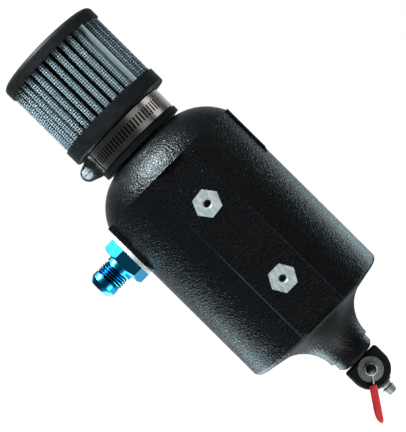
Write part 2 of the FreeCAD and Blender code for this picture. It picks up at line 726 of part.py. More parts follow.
def lever_direction():
    angle = math.radians(LEVER_ANGLE)
    return Vector(-math.sin(angle), 0, -math.cos(angle))


def lever_point(reach, front):
    """A point on the lever's line, reach from the spindle's axis and front ahead of the tank's axis."""
    return Vector(0, -front, COCK_Z) + lever_direction() * reach


def lever_wire(start, end, radius):
    return Part.makeCylinder(radius, end - start, lever_point(start, LEVER_FRONT), lever_direction())


def drain_lever():
    eye = at_spindle(Part.makeTorus(EYE_R, WIRE_R, Vector(0, 0, LEVER_FRONT)))
    return eye.fuse(lever_wire(EYE_R, GRIP_START + WIRE_IN_GRIP, WIRE_R)).removeSplitter()


def lever_grip():
    """A flat dipped grip that tapers to a round tip."""
    half = GRIP_W / 2
    end = GRIP_START + GRIP_L
    taper = end - GRIP_TAPER_L
    tip = end - GRIP_TIP_R
    blade = outline(
        (-half, GRIP_START), (-half, taper), (-GRIP_TIP_R, tip),
        ((0, end), (GRIP_TIP_R, tip)), (half, taper), (half, GRIP_START)).extrude(Vector(0, GRIP_T, 0))
    blade.translate(Vector(0, -GRIP_T / 2, 0))
    rims = [edge for edge in blade.Edges if edge.BoundBox.YLength < FIT]
    blade = blade.makeFillet(GRIP_ROUND, rims)
    blade = blade.rotated(ORIGIN, Vector(0, 1, 0), 180 + LEVER_ANGLE)
    blade.translate(Vector(0, -LEVER_FRONT, COCK_Z))
    return blade.cut(lever_wire(GRIP_START - GRIP_L, GRIP_START + WIRE_IN_GRIP, WIRE_R + FIT))


def drain_spout():
    waist = OUTLET_Z - SPOUT_COLLAR_L
    barb = waist - SPOUT_WAIST_L
    end = barb - SPOUT_BARB_L
    top = OUTLET_Z + SPOUT_SHANK_L
    return turned(
        (SPOUT_BORE_R, end), (SPOUT_TIP_R, end), (SPOUT_R, barb), (SPOUT_WAIST_R, barb),
        (SPOUT_R, waist), (SPOUT_R, OUTLET_Z), (SPOUT_SHANK_R, OUTLET_Z), (SPOUT_SHANK_R, top),
        (SPOUT_BORE_R, top))


PIECES = {
    "tank_shell": tank_shell,
    "mount_insert_upper": lambda: mount_insert("upper"),
    "mount_insert_lower": lambda: mount_insert("lower"),
    "inlet_fitting": inlet_fitting,
    "inlet_washer_outer": inlet_washer_outer,
    "inlet_washer_inner": inlet_washer_inner,
    "inlet_nut": inlet_nut,
    "filter_base": filter_base,
    "filter_media": filter_media,
    "filter_seam_clip": filter_seam_clip,
    "filter_top_cap": filter_top_cap,
    "clamp_band": clamp_band,
    "clamp_housing": clamp_housing,
    "clamp_screw": clamp_screw,
    "drain_insert": drain_insert,
    "drain_body": drain_body,
    "drain_spindle": drain_spindle,
    "spindle_o_rings": spindle_o_rings,
    "spindle_snap_ring": spindle_snap_ring,
    "drain_disc": drain_disc,
    "drain_lever": drain_lever,
    "lever_grip": lever_grip,
    "drain_spout": drain_spout,
}


def main():
    os.makedirs("parts", exist_ok=True)
    for name, make in PIECES.items():
        shape = make()
        shape.translate(Vector(0, FACE_TO_AXIS, 0))
        shape.exportStep(os.path.join("parts", name + ".step"))
        print(f"{name}: {len(shape.Solids)} solid(s), {shape.Volume / 1000:.2f} cm3, valid {shape.isValid()}")
    screw = round_the_axis(Part.Vertex(SCREW_R, 0, CLAMP_Z), HOUSING_ANGLE).Point
    screw.y += FACE_TO_AXIS
    print(f"spindle axis at z {COCK_Z:.3f}")
    print(f"clamp screw through ({screw.x:.3f}, {screw.y:.3f}, {screw.z:.3f})")


main()
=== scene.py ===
# %% [markdown]
# # A breather tank
# An engine's breather tank catches the oil mist that is blown out of a crankcase. It is a moulded
# black plastic can with a clamp-on filter on its neck, a blue hose fitting on its side and a drain
# cock under its sump. The measured solids are loaded first, as a fixed frame. This script gives every
# piece its finish, and rebuilds the pieces whose look depends on fine shape: the pleated filter with
# its wire gauze, the threads and the dipped grip. All lengths are metres.

import math
from functools import partial

import bmesh
import bpy
from mathutils import Matrix, Vector


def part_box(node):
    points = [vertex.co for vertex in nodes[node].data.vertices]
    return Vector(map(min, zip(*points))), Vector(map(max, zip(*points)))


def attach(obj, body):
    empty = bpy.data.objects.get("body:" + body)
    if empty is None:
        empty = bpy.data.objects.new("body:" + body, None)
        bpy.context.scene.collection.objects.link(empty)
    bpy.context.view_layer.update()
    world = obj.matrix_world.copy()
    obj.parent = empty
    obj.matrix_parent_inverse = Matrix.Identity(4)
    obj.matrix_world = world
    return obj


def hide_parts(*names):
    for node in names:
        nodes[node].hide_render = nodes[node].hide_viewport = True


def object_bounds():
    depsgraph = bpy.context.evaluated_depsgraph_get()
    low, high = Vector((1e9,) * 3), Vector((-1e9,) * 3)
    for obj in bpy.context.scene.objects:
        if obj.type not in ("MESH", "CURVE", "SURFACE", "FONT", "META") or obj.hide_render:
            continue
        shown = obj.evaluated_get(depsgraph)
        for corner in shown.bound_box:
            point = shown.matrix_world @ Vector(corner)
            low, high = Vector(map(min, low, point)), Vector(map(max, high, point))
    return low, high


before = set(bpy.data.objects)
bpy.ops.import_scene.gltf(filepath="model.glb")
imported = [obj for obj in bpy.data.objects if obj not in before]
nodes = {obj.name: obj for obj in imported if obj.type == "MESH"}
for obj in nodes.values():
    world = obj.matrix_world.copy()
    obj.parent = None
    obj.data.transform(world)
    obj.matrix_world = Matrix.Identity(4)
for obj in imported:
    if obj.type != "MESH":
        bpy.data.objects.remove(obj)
scene = bpy.context.scene
cad_box = [list(corner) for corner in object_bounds()]
MM = 0.001

# %% [markdown]
# ## Measuring the frame
# The rebuilt pieces are placed by the solids that they stand for. The tank's upright axis is read from
# the middle of the filter cap, which is round, and other places from the boxes of their own solids.

# %% Find the tank's axis
def box_middle(node):
    low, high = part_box(node)
    return (low + high) / 2


tank_axis = box_middle("filter_top_cap")
print("tank axis at x %.1f mm, y %.1f mm" % (tank_axis.x / MM, tank_axis.y / MM))

# %% [markdown]
# ## Camera
# The picture was taken square to the tank's axis from a little over a metre away, with the camera
# rolled so that the filter points to the upper left. The roll is part of the camera's own turn, so
# the tank itself stays upright in its frame.

# %% Place the camera
VIEW_DISTANCE = 1.17
VIEW_AZIMUTH = math.radians(-2.0)
VIEW_ROLL = math.radians(45.3)
EYE_ABOVE_AIM = 10.6 * MM
AIM_FROM_AXIS = Vector((-6.4 * MM, 0, 33.4 * MM))
FOCAL_PIXELS = 1548
PICTURE_HEIGHT = 432
SENSOR_MM = 36

aim = Vector((tank_axis.x, tank_axis.y, 0)) + AIM_FROM_AXIS
eye = aim + Vector((VIEW_DISTANCE * math.sin(VIEW_AZIMUTH),
                    -VIEW_DISTANCE * math.cos(VIEW_AZIMUTH), EYE_ABOVE_AIM))
ahead = (aim - eye).normalized()
level = ahead.cross(Vector((0, 0, 1))).normalized()
above = level.cross(ahead)
right = level * math.cos(VIEW_ROLL) - above * math.sin(VIEW_ROLL)
up = level * math.sin(VIEW_ROLL) + above * math.cos(VIEW_ROLL)

camera = bpy.data.objects.new("camera", bpy.data.cameras.new("camera"))
scene.collection.objects.link(camera)
camera.data.lens = FOCAL_PIXELS * SENSOR_MM / PICTURE_HEIGHT
camera.data.sensor_width = SENSOR_MM
camera.data.clip_end = 100
turn = Matrix((right, up, -ahead)).transposed()
camera.matrix_world = Matrix.Translation(eye) @ turn.to_4x4()
scene.camera = camera
print("camera %.0f mm from the axis, lens %.0f mm" % (VIEW_DISTANCE / MM, camera.data.lens))

# %% [markdown]
# ## Node helpers
# Materials and Geometry Nodes are both trees of nodes. One helper adds a node, sets its properties
# and fills its sockets: a socket is joined to the value it is given, or set to it. The others are short
# forms of it for sums, ranges and vectors, and a plain material to start a finish from.

# %% Helpers for node trees
def add(tree, kind, inputs=None, **settings):
    node = tree.nodes.new(kind)
    for name, value in settings.items():
        setattr(node, name, value)
    for key, value in (inputs or {}).items():
        if isinstance(value, bpy.types.NodeSocket):
            tree.links.new(value, node.inputs[key])
        else:
            node.inputs[key].default_value = value
    return node


def out(tree, kind, inputs=None, **settings):
    """Adds a node and gives its first output."""
    return add(tree, kind, inputs, **settings).outputs[0]


def math_node(tree, operation, a, b=0.0, clamp=False):
    return out(tree, "ShaderNodeMath", {0: a, 1: b}, operation=operation, use_clamp=clamp)


def times(tree, a, b):
    return math_node(tree, "MULTIPLY", a, b)


def plus(tree, a, b):
    return math_node(tree, "ADD", a, b)


def ramp(tree, value, low, high, start=0.0, end=1.0):
    """Turns the range from low to high into start to end, and holds it there."""
    return out(tree, "ShaderNodeMapRange", {
        "Value": value, "From Min": low, "From Max": high, "To Min": start, "To Max": end})


def vector_math(tree, operation, a, b=(0, 0, 0)):
    return out(tree, "ShaderNodeVectorMath", {0: a, 1: b}, operation=operation)


def scaled(tree, vector, factor):
    return out(tree, "ShaderNodeVectorMath", {0: vector, "Scale": factor}, operation="SCALE")


def length_of(tree, vector):
    return add(tree, "ShaderNodeVectorMath", {0: vector}, operation="LENGTH").outputs["Value"]


def separate(tree, vector):
    return add(tree, "ShaderNodeSeparateXYZ", {0: vector}).outputs


def new_finish(name, base, roughness, metallic=0.0, specular=0.5):
    material = bpy.data.materials.new(name)
    material.use_nodes = True
    tree = material.node_tree
    shader = tree.nodes["Principled BSDF"]
    shader.inputs["Base Color"].default_value = (*base, 1)
    shader.inputs["Roughness"].default_value = roughness
    shader.inputs["Metallic"].default_value = metallic
    shader.inputs["Specular IOR Level"].default_value = specular
    return material, tree, shader


print("node helpers are ready")

# %% [markdown]
# ## The room
# The tank stands before a plain white page. A round black object shows its form only by what it
# mirrors, and an even white room would turn all of it grey. So the camera sees a white page, by the
# Light Path node, while the tank mirrors a room that is bright behind it and dims towards the camera
# and the ceiling. That keeps the front dark and draws a light edge down both sides. The levels are set
# by how far back a direction points, from -1 to 1. A fade is where it begins and ends, and its levels.

# %% World
ROOM_COOL = (0.86, 0.96, 1.0, 1)
ROOM_LEVELS = {-0.45: 0.033, 0.2: 0.037, 0.5: 0.09, 0.77: 0.48, 0.97: 0.8}
CEILING_FADE = (0.05, 0.5, 1.0, 0.3)
PAGE_WHITE = (1, 1, 1, 1)

scene.view_settings.view_transform = "Standard"
world = bpy.data.worlds.new("white_room")
scene.world = world
world.use_nodes = True
room = world.node_tree
room.nodes.clear()
towards = separate(room, add(room, "ShaderNodeTexCoord").outputs["Generated"])
levels = add(room, "ShaderNodeValToRGB", {0: ramp(room, towards["Y"], -1.0, 1.0)})
stops = levels.color_ramp.elements
while len(stops) < len(ROOM_LEVELS):
    stops.new(0.5)
for stop, (behind, grey) in zip(stops, sorted(ROOM_LEVELS.items())):
    stop.position = (behind + 1) / 2
    stop.color = (grey, grey, grey, 1)
ceiling = ramp(room, towards["Z"], *CEILING_FADE)
room_level = times(room, levels.outputs[0], ceiling)
lit = out(room, "ShaderNodeBackground", {"Color": ROOM_COOL, "Strength": room_level})
page = out(room, "ShaderNodeBackground", {"Color": PAGE_WHITE, "Strength": 1.0})
path = add(room, "ShaderNodeLightPath").outputs
sees = math_node(room, "MAXIMUM", path["Is Camera Ray"], path["Is Transmission Ray"])
both = out(room, "ShaderNodeMixShader", {0: sees, 1: lit, 2: page})
add(room, "ShaderNodeOutputWorld", {"Surface": both})
print("room levels from the camera's side to the back:", sorted(ROOM_LEVELS.values()))

# %% [markdown]
# ## The floor
# The floor is a wide pale sheet well under the drain. To the camera it glows almost as white as the
# page, and with the lamps' light it reaches white, so the tank's shadow doesn't show on it. In mirrored
# rays it is a strip of light under the tank that fades on all sides: the sump, which faces down, takes
# its shine from it. From below it is clear, so that the tank can be looked at from any side.

# %% Floor
FLOOR_GAP = 400 * MM
FLOOR_HALF = 6.0
FLOOR_PALE = (0.86, 0.86, 0.86)
GLOW_FADE = (0.4, 1.6, 0.9, 1.0)
STRIP_MIDDLE = -0.12
SIDE_FADE = (0.12, 0.5, 0.95, 0.27)
FRONT_FADE = (-0.9, -0.4, 0.08, 1.0)
BACK_FADE = (0.3, 1.2, 1.0, 0.35)


def mirrored_strip(tree, place):
    """How bright the floor is in mirrored rays."""
    spot = separate(tree, place)
    front = ramp(tree, spot["Y"], *FRONT_FADE)
    back = ramp(tree, spot["Y"], *BACK_FADE)
    aside = math_node(tree, "ABSOLUTE", math_node(tree, "SUBTRACT", spot["X"], STRIP_MIDDLE))
    return times(tree, ramp(tree, aside, *SIDE_FADE), times(tree, front, back))


def floor_material():
    material, tree, shader = new_finish("pale_floor", FLOOR_PALE, 0.9, specular=0.1)
    shader.inputs["Emission Color"].default_value = PAGE_WHITE
    place = add(tree, "ShaderNodeTexCoord").outputs["Object"]
    apart = length_of(tree, vector_math(tree, "MULTIPLY", place, (1, 1, 0)))
    glow = ramp(tree, apart, *GLOW_FADE)
    path = add(tree, "ShaderNodeLightPath").outputs
    seen = math_node(tree, "MAXIMUM", path["Is Camera Ray"], path["Is Transmission Ray"])
    tree.links.new(times(tree, seen, glow), shader.inputs["Emission Strength"])
    sheet = out(tree, "ShaderNodeEmission", {
        "Color": ROOM_COOL, "Strength": mirrored_strip(tree, place)})
    above = out(tree, "ShaderNodeMixShader", {
        0: path["Is Glossy Ray"], 1: shader.outputs[0], 2: sheet})
    below = out(tree, "ShaderNodeBsdfTransparent")
    under = add(tree, "ShaderNodeNewGeometry").outputs["Backfacing"]
    both = out(tree, "ShaderNodeMixShader", {0: under, 1: above, 2: below})
    tree.links.new(both, tree.nodes["Material Output"].inputs["Surface"])
    return material


floor_mesh = bpy.data.meshes.new("floor")
floor_z = cad_box[0][2] - FLOOR_GAP
floor_corners = [(-1, -1), (1, -1), (1, 1), (-1, 1)]
floor_mesh.from_pydata(
    [(x * FLOOR_HALF, y * FLOOR_HALF, floor_z) for x, y in floor_corners], [], [(0, 1, 2, 3)])
floor = bpy.data.objects.new("floor", floor_mesh)
floor.data.materials.append(floor_material())
scene.collection.objects.link(floor)
print("floor %.0f mm under the spout" % (FLOOR_GAP / MM))

# %% [markdown]
# ## The lamps
# Each soft box has one job. The left and right boxes stand low behind the tank and lay cool light along
# the lower wall. The top box lights the dome and the inserts, the back box the upper edges. The band
# box gives the clamp its streak. The front card and the sump box are weak, and only lift the grip and
# the front of the sump out of the dark.

# %% Lamps
COOL = (0.72, 0.94, 1.0)
SKY = (0.80, 0.95, 1.0)
WHITE = (1, 1, 1)


def soft_lamp(name, place, watts, size, colour=WHITE):
    """A soft box that looks at the middle of the tank."""
    light = bpy.data.lights.new(name, "AREA")
    light.shape = "RECTANGLE"
    light.size, light.size_y = size
    light.energy = watts
    light.color = colour
    lamp = bpy.data.objects.new(name, light)
    scene.collection.objects.link(lamp)
    lamp.location = aim + Vector(place)
    lamp.rotation_euler = (-Vector(place)).to_track_quat("-Z", "Z").to_euler()
    lamp.visible_camera = False


soft_lamp("left_box", (-0.42, 0.28, -0.30), 3.5, (0.36, 0.46), COOL)
soft_lamp("right_box", (0.45, 0.32, -0.20), 1.0, (0.36, 0.28), COOL)
soft_lamp("top_box", (-0.13, -0.30, 0.90), 31, (0.36, 0.38), SKY)
soft_lamp("back_box", (-0.10, 0.30, 0.95), 1.1, (0.5, 0.4))
soft_lamp("band_box", (0.55, -0.08, 0.17), 0.13, (0.16, 0.26))
soft_lamp("front_card", (0.50, -0.70, 0.25), 0.25, (0.6, 0.5))
soft_lamp("sump_box", (-0.20, -0.30, -0.54), 1.2, (0.4, 0.3))

# %% [markdown]
# ## Finishes
# Each finish is a short function that returns a material. They all read Object coordinates, which
# for these pieces are metres in the tank's own frame, so a scale of 500 gives marks about 2 mm wide.
# Three helpers change the colour, the roughness and the relief by a texture.

# %% Helpers for finishes
def object_coordinates(tree, stretch=(1, 1, 1)):
    place = add(tree, "ShaderNodeTexCoord").outputs["Object"]
    return out(tree, "ShaderNodeMapping", {"Vector": place, "Scale": stretch})


def noise(tree, place, scale, detail=3.0):
    return out(tree, "ShaderNodeTexNoise", {
        "Vector": place, "Scale": scale, "Detail": detail, "Roughness": 0.5})


def vary_colour(tree, shader, factor, dark, light, low=0.35, high=0.65):
    """Blends the base colour between two tones by a texture."""
    blend = add(tree, "ShaderNodeMix", {
        "Factor": ramp(tree, factor, low, high), 6: (*dark, 1), 7: (*light, 1)}, data_type="RGBA")
    tree.links.new(blend.outputs[2], shader.inputs["Base Color"])


def vary_roughness(tree, shader, factor, low, high):
    tree.links.new(ramp(tree, factor, 0.0, 1.0, low, high), shader.inputs["Roughness"])


def bump(tree, shader, height, depth):
    """Raises the surface by a texture; depth is the height of its white, in metres."""
    raised = out(tree, "ShaderNodeBump", {"Strength": 1.0, "Distance": depth, "Height": height})
    tree.links.new(raised, shader.inputs["Normal"])


def dress(finish_of):
    """Gives each named solid its finish."""
    for node, finish in finish_of.items():
        slots = nodes[node].data.materials
        slots.clear()
        slots.append(finish)
    print("finishes given to:", ", ".join(finish_of))


print("finish helpers are ready")

# %% [markdown]
# ## The moulded tank
# The can is moulded in a tool with a leather grain: rounded pebbles a couple of millimetres across,
# parted by creases. A Voronoi texture's distance to its cell edges is just that. The place is first
# shaken by noise, because straight cell edges look like cut glass. The creases are left rougher than
# the pebbles, so that they stay dark inside a highlight. The two long edges of the mounting land get a
# painted highlight, a paler line where light would glint on their edges, fading towards their upper ends:
# the finish finds them by their distance from the middle of the land.

# %% Grained plastic
GRAIN_PER_METRE = 430
GRAIN_DEPTH = 0.16 * MM
CREASE_SHARE = 0.35
SHAKE_PER_METRE = 300
SHAKE = 2.2 * MM
SKIN_PER_METRE = 1500
SKIN_SHARE = 0.15
CREASE_ROUGHNESS = 0.40
PEBBLE_ROUGHNESS = 0.22
PLASTIC = (0.003, 0.003, 0.0036)
# The colour of the painted highlight along the land's long edges.
EDGE_HIGHLIGHT_PLASTIC = (0.065, 0.065, 0.075)
LAND_HALF = 20.4 * MM
LAND_REACH = 59.9 * MM
EDGE_HIGHLIGHT_W = 0.5 * MM
EDGE_HIGHLIGHT_TOP = 60 * MM
EDGE_HIGHLIGHT_FULL = -20 * MM
HIGHLIGHT_BREAKUP_PER_METRE = 45
LEAST_HIGHLIGHT = 0.4


def moulded_grain(tree, place):
    """0 in the creases, 1 on the pebbles."""
    shake = add(tree, "ShaderNodeTexNoise", {
        "Vector": place, "Scale": SHAKE_PER_METRE, "Detail": 2.0}).outputs["Color"]
    shaken = vector_math(tree, "ADD", place, scaled(tree, shake, SHAKE))
    crease = add(tree, "ShaderNodeTexVoronoi", {
        "Vector": shaken, "Scale": GRAIN_PER_METRE}, feature="DISTANCE_TO_EDGE").outputs["Distance"]
    return out(tree, "ShaderNodeMapRange", {
        "Value": crease, "From Max": CREASE_SHARE}, interpolation_type="SMOOTHERSTEP")


def painted_edge_highlight(tree, place):
    """Painted highlight: 1 on the land's long edges, fading towards their upper ends."""
    spot = separate(tree, place)
    to_edge = math_node(tree, "SUBTRACT", math_node(tree, "ABSOLUTE", spot["X"]), LAND_HALF)
    painted_light = ramp(tree, math_node(tree, "ABSOLUTE", to_edge), 0.0, EDGE_HIGHLIGHT_W, 1.0, 0.0)
    on_land = math_node(tree, "LESS_THAN", spot["Y"], tank_axis.y - LAND_REACH)
    low = ramp(tree, spot["Z"], EDGE_HIGHLIGHT_TOP, EDGE_HIGHLIGHT_FULL)
    # Noise breaks up the painted highlight along the edges.
    broken_up = ramp(tree, noise(tree, place, HIGHLIGHT_BREAKUP_PER_METRE), 0.3, 0.7, LEAST_HIGHLIGHT)
    for share in (on_land, low, broken_up):
        painted_light = times(tree, painted_light, share)
    return painted_light


def grained_plastic():
    material, tree, shader = new_finish("grained_plastic", PLASTIC, PEBBLE_ROUGHNESS, specular=0.3)
    place = object_coordinates(tree)
    pebble = moulded_grain(tree, place)
    skin = times(tree, noise(tree, place, SKIN_PER_METRE), SKIN_SHARE)
    bump(tree, shader, plus(tree, pebble, skin), GRAIN_DEPTH)
    vary_roughness(tree, shader, pebble, CREASE_ROUGHNESS, PEBBLE_ROUGHNESS)
    # Painted highlight: the land's long edges are lightened where light would glint on them.
    vary_colour(tree, shader, painted_edge_highlight(tree, place), PLASTIC, EDGE_HIGHLIGHT_PLASTIC, 0.1, 0.8)
    return material


dress({"tank_shell": grained_plastic()})
print("grain %.1f mm wide, %.2f mm deep" % (1 / GRAIN_PER_METRE / MM, GRAIN_DEPTH / MM))

# %% [markdown]
# ## Metal finishes
# Machined and rolled metal carries fine lines in the direction of the work. Noise that is drawn out
# along an axis gives such lines: they run up the inserts and the seam strip, and round the clamp's band
# and the spout. Where no direction shows, the noise stays even and reads as scuffs. Dull and plated
# pieces are only partly metallic, so that they keep some of their own colour.

# %% Metals
EVEN = (1, 1, 1)
SHORT_LINES = (1, 1, 0.4)
UPRIGHT = (1, 1, 0.05)
ROUND = (0.05, 0.05, 1)


def lined_metal(name, base, roughness, stretch, scale, depth, shade=0.75, metallic=1.0):
    """Metal with fine lines, drawn out where stretch is below 1; shade is the tone of the dark ones."""
    material, tree, shader = new_finish(name, base, roughness, metallic=metallic)
    lines = noise(tree, object_coordinates(tree, stretch), scale, detail=4.0)
    vary_colour(tree, shader, lines, [c * shade for c in base], base)
    vary_roughness(tree, shader, lines, roughness - 0.06, roughness + 0.1)
    bump(tree, shader, lines, depth)
    return material


insert_aluminium = lined_metal(
    "insert_aluminium", (0.66, 0.675, 0.665), 0.5, SHORT_LINES, 420, 0.03 * MM, 0.62, 0.35)
clamp_steel = lined_metal("clamp_steel", (0.82, 0.77, 0.73), 0.22, ROUND, 3000, 0.01 * MM)
plated_steel = lined_metal("plated_steel", (0.62, 0.61, 0.60), 0.25, EVEN, 300, 0.004 * MM, 0.92)
bright_zinc = lined_metal("bright_zinc", (0.84, 0.88, 0.90), 0.26, EVEN, 300, 0.004 * MM, 0.92, 0.45)
seam_steel = lined_metal("seam_steel", (0.78, 0.90, 0.95), 0.28, UPRIGHT, 2500, 0.01 * MM, 0.85, 0.85)
disc_steel = lined_metal("disc_steel", (0.32, 0.315, 0.305), 0.42, EVEN, 600, 0.02 * MM, 0.6, 0.3)
dark_steel = lined_metal("dark_steel", (0.10, 0.10, 0.10), 0.35, EVEN, 1200, 0.01 * MM)
bright_wire = lined_metal("bright_wire", (0.95, 0.94, 0.92), 0.25, EVEN, 2500, 0.005 * MM, 0.95, 0.2)
bright_spout = lined_metal("bright_spout", (0.50, 0.49, 0.48), 0.42, ROUND, 900, 0.02 * MM, 0.6, 0.5)
dress({
    "mount_insert_upper": insert_aluminium, "mount_insert_lower": insert_aluminium,
    "clamp_band": clamp_steel, "clamp_housing": plated_steel, "clamp_screw": bright_zinc,
    "filter_seam_clip": seam_steel, "drain_disc": disc_steel, "drain_spindle": dark_steel,
    "spindle_snap_ring": plated_steel, "drain_lever": bright_wire, "drain_spout": bright_spout})

# %% [markdown]
# ## Rubber, nylon, vinyl and smooth plastic
# The filter's ends, the washers, the grip and the cock are moulded or dipped. Such a skin is never quite
# even: a slow mottling changes its tone and gloss, and a finer one breaks up the highlights. One
# function makes them all, from a colour, a roughness and the size of the mottling.

# %% Moulded finishes
FINER = 7


def moulded(name, base, roughness, scale, depth, light=1.8, specular=0.4):
    material, tree, shader = new_finish(name, base, roughness, specular=specular)
    place = object_coordinates(tree)
    mottle = noise(tree, place, scale)
    vary_colour(tree, shader, mottle, base, [c * light for c in base])
    vary_roughness(tree, shader, mottle, roughness - 0.08, roughness + 0.08)
    bump(tree, shader, noise(tree, place, scale * FINER), depth)
    return material


filter_rubber = moulded("filter_rubber", (0.006, 0.006, 0.006), 0.5, 160, 0.08 * MM, specular=0.165)
collar_plastic = moulded("collar_plastic", (0.006, 0.006, 0.0065), 0.36, 220, 0.04 * MM, specular=0.3)
cock_black = moulded("cock_black", (0.006, 0.006, 0.006), 0.4, 350, 0.06 * MM, specular=0.3)
seal_rubber = moulded("seal_rubber", (0.010, 0.010, 0.010), 0.5, 300, 0.02 * MM)
white_nylon = moulded("white_nylon", (0.68, 0.68, 0.67), 0.45, 200, 0.02 * MM, 1.1)
red_vinyl = moulded("red_vinyl", (0.95, 0.05, 0.06), 0.36, 250, 0.03 * MM, 1.1)
dress({
    "filter_base": filter_rubber, "filter_top_cap": filter_rubber,
    "inlet_washer_outer": white_nylon, "inlet_washer_inner": white_nylon,
    "drain_insert": collar_plastic, "drain_body": cock_black, "spindle_o_rings": seal_rubber,
    "lever_grip": red_vinyl})

# %% [markdown]
# ## Blue anodising
# The hose fitting is aluminium bar, dyed blue and sealed. Anodising keeps the shine of the metal below
# it, so this is a metal with a blue tone. Drawn bar has fine lines along it, so the noise is drawn out
# along X, which is the fitting's axis.

# %% Blue anodised aluminium
BLUE = (0.03, 0.44, 0.82)
BLUE_DEEP = (0.016, 0.36, 0.75)
BLUE_BRIGHT = (0.04, 0.52, 0.90)
ANODISED_ROUGHNESS = 0.24
DRAWN = (0.08, 1, 1)


def blue_anodised():
    material, tree, shader = new_finish("blue_anodised", BLUE, ANODISED_ROUGHNESS, metallic=1.0)
    lines = noise(tree, object_coordinates(tree, DRAWN), 2500, detail=4.0)
    vary_colour(tree, shader, lines, BLUE_DEEP, BLUE_BRIGHT)
    vary_roughness(tree, shader, lines, 0.18, 0.30)
    return material


blue = blue_anodised()
dress({"inlet_fitting": blue, "inlet_nut": blue})

# %% [markdown]
# ## Shape trees
# What repeats, or follows a rule, is made with Geometry Nodes: the pleats, the gauze and the threads.
# Each tree is built here with named inputs for its sizes. It runs once on an empty mesh, its result is
# kept as a plain mesh, and the modifier is taken off again, so what is handed over is only the shape.

# %% Helpers for shape trees
def new_tree(name, inputs):
    """An empty shape tree; inputs names each input and its kind of socket."""
    tree = bpy.data.node_groups.new(name, "GeometryNodeTree")
    tree.interface.new_socket("Geometry", in_out="OUTPUT", socket_type="NodeSocketGeometry")
    for label, kind in inputs.items():
        tree.interface.new_socket(label, in_out="INPUT", socket_type="NodeSocket" + kind)
    return tree, tree.nodes.new("NodeGroupInput").outputs


def end_tree(tree, geometry, finish):
    real = out(tree, "GeometryNodeRealizeInstances", {0: geometry})
    dressed = out(tree, "GeometryNodeSetMaterial", {"Geometry": real, "Material": finish})
    add(tree, "NodeGroupOutput", {"Geometry": dressed})


def xyz(tree, x=0.0, y=0.0, z=0.0):
    return out(tree, "ShaderNodeCombineXYZ", {0: x, 1: y, 2: z})


def join(tree, parts):
    both = add(tree, "GeometryNodeJoinGeometry")
    for part in parts:
        tree.links.new(part, both.inputs[0])
    return both.outputs[0]


print("shape tree helpers are ready")

# %% [markdown]
# ## From a tree to a piece
# Every rebuilt piece goes the same way: its tree is run, its faces are smoothed up to an angle, and it
# is handed over with the body that carries it, its finish and the solid that it stands for.

# %% Helpers for pieces
def plain_mesh(holder):
    """Replaces an object's mesh by what its modifiers make of it, and takes them off."""
    graph = bpy.context.evaluated_depsgraph_get()
    mesh = bpy.data.meshes.new_from_object(holder.evaluated_get(graph))
    holder.modifiers.clear()
    holder.data = mesh
    return holder


def grow(name, tree, values):
    """Runs a tree on an empty mesh; values gives each named input its value."""
    holder = bpy.data.objects.new(name, bpy.data.meshes.new(name))
    scene.collection.objects.link(holder)
    modifier = holder.modifiers.new("shape", "NODES")
    modifier.node_group = tree
    for item in tree.interface.items_tree:
        if item.in_out == "INPUT":
            modifier[item.identifier] = values[item.name]
    return plain_mesh(holder)


def smooth(piece, sharp_degrees):
    piece.data.shade_smooth()
    piece.data.set_sharp_from_angle(angle=math.radians(sharp_degrees))


def hand_over(piece, body, node=None):
    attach(piece, body)
    if node:
        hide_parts(node)
    print("%s: %d faces" % (piece.name, len(piece.data.polygons)))


print("piece helpers are ready")

# %% [markdown]
# ## The pleat line
# The filter is one long strip folded into a ring. Seen from above it is a wavy line: every pleat has
# two corners at its crest and two in its valley, all of them rounded. A circle with four points for
# each pleat is bent into that line by the number of each point. The pleats are a little uneven, as
# folded cloth is, and the one under the seam strip is lower and thinner to leave room for it.
# The line is a tree of its own because the cloth and the gauze both follow it.

# %% Pleat line tree
CORNERS = 4.0
ROUND_STEPS = 4
PLEAT_INPUTS = {
    "Pleats": "Int", "Crest radius": "Float", "Crest width": "Float", "Crest round": "Float",
    "Valley radius": "Float", "Valley width": "Float", "Valley round": "Float",
    "Seam sink": "Float", "Seam narrowing": "Float", "Seam turn": "Float",
    "Unevenness": "Float", "Seed": "Int", "Centre": "Vector"}


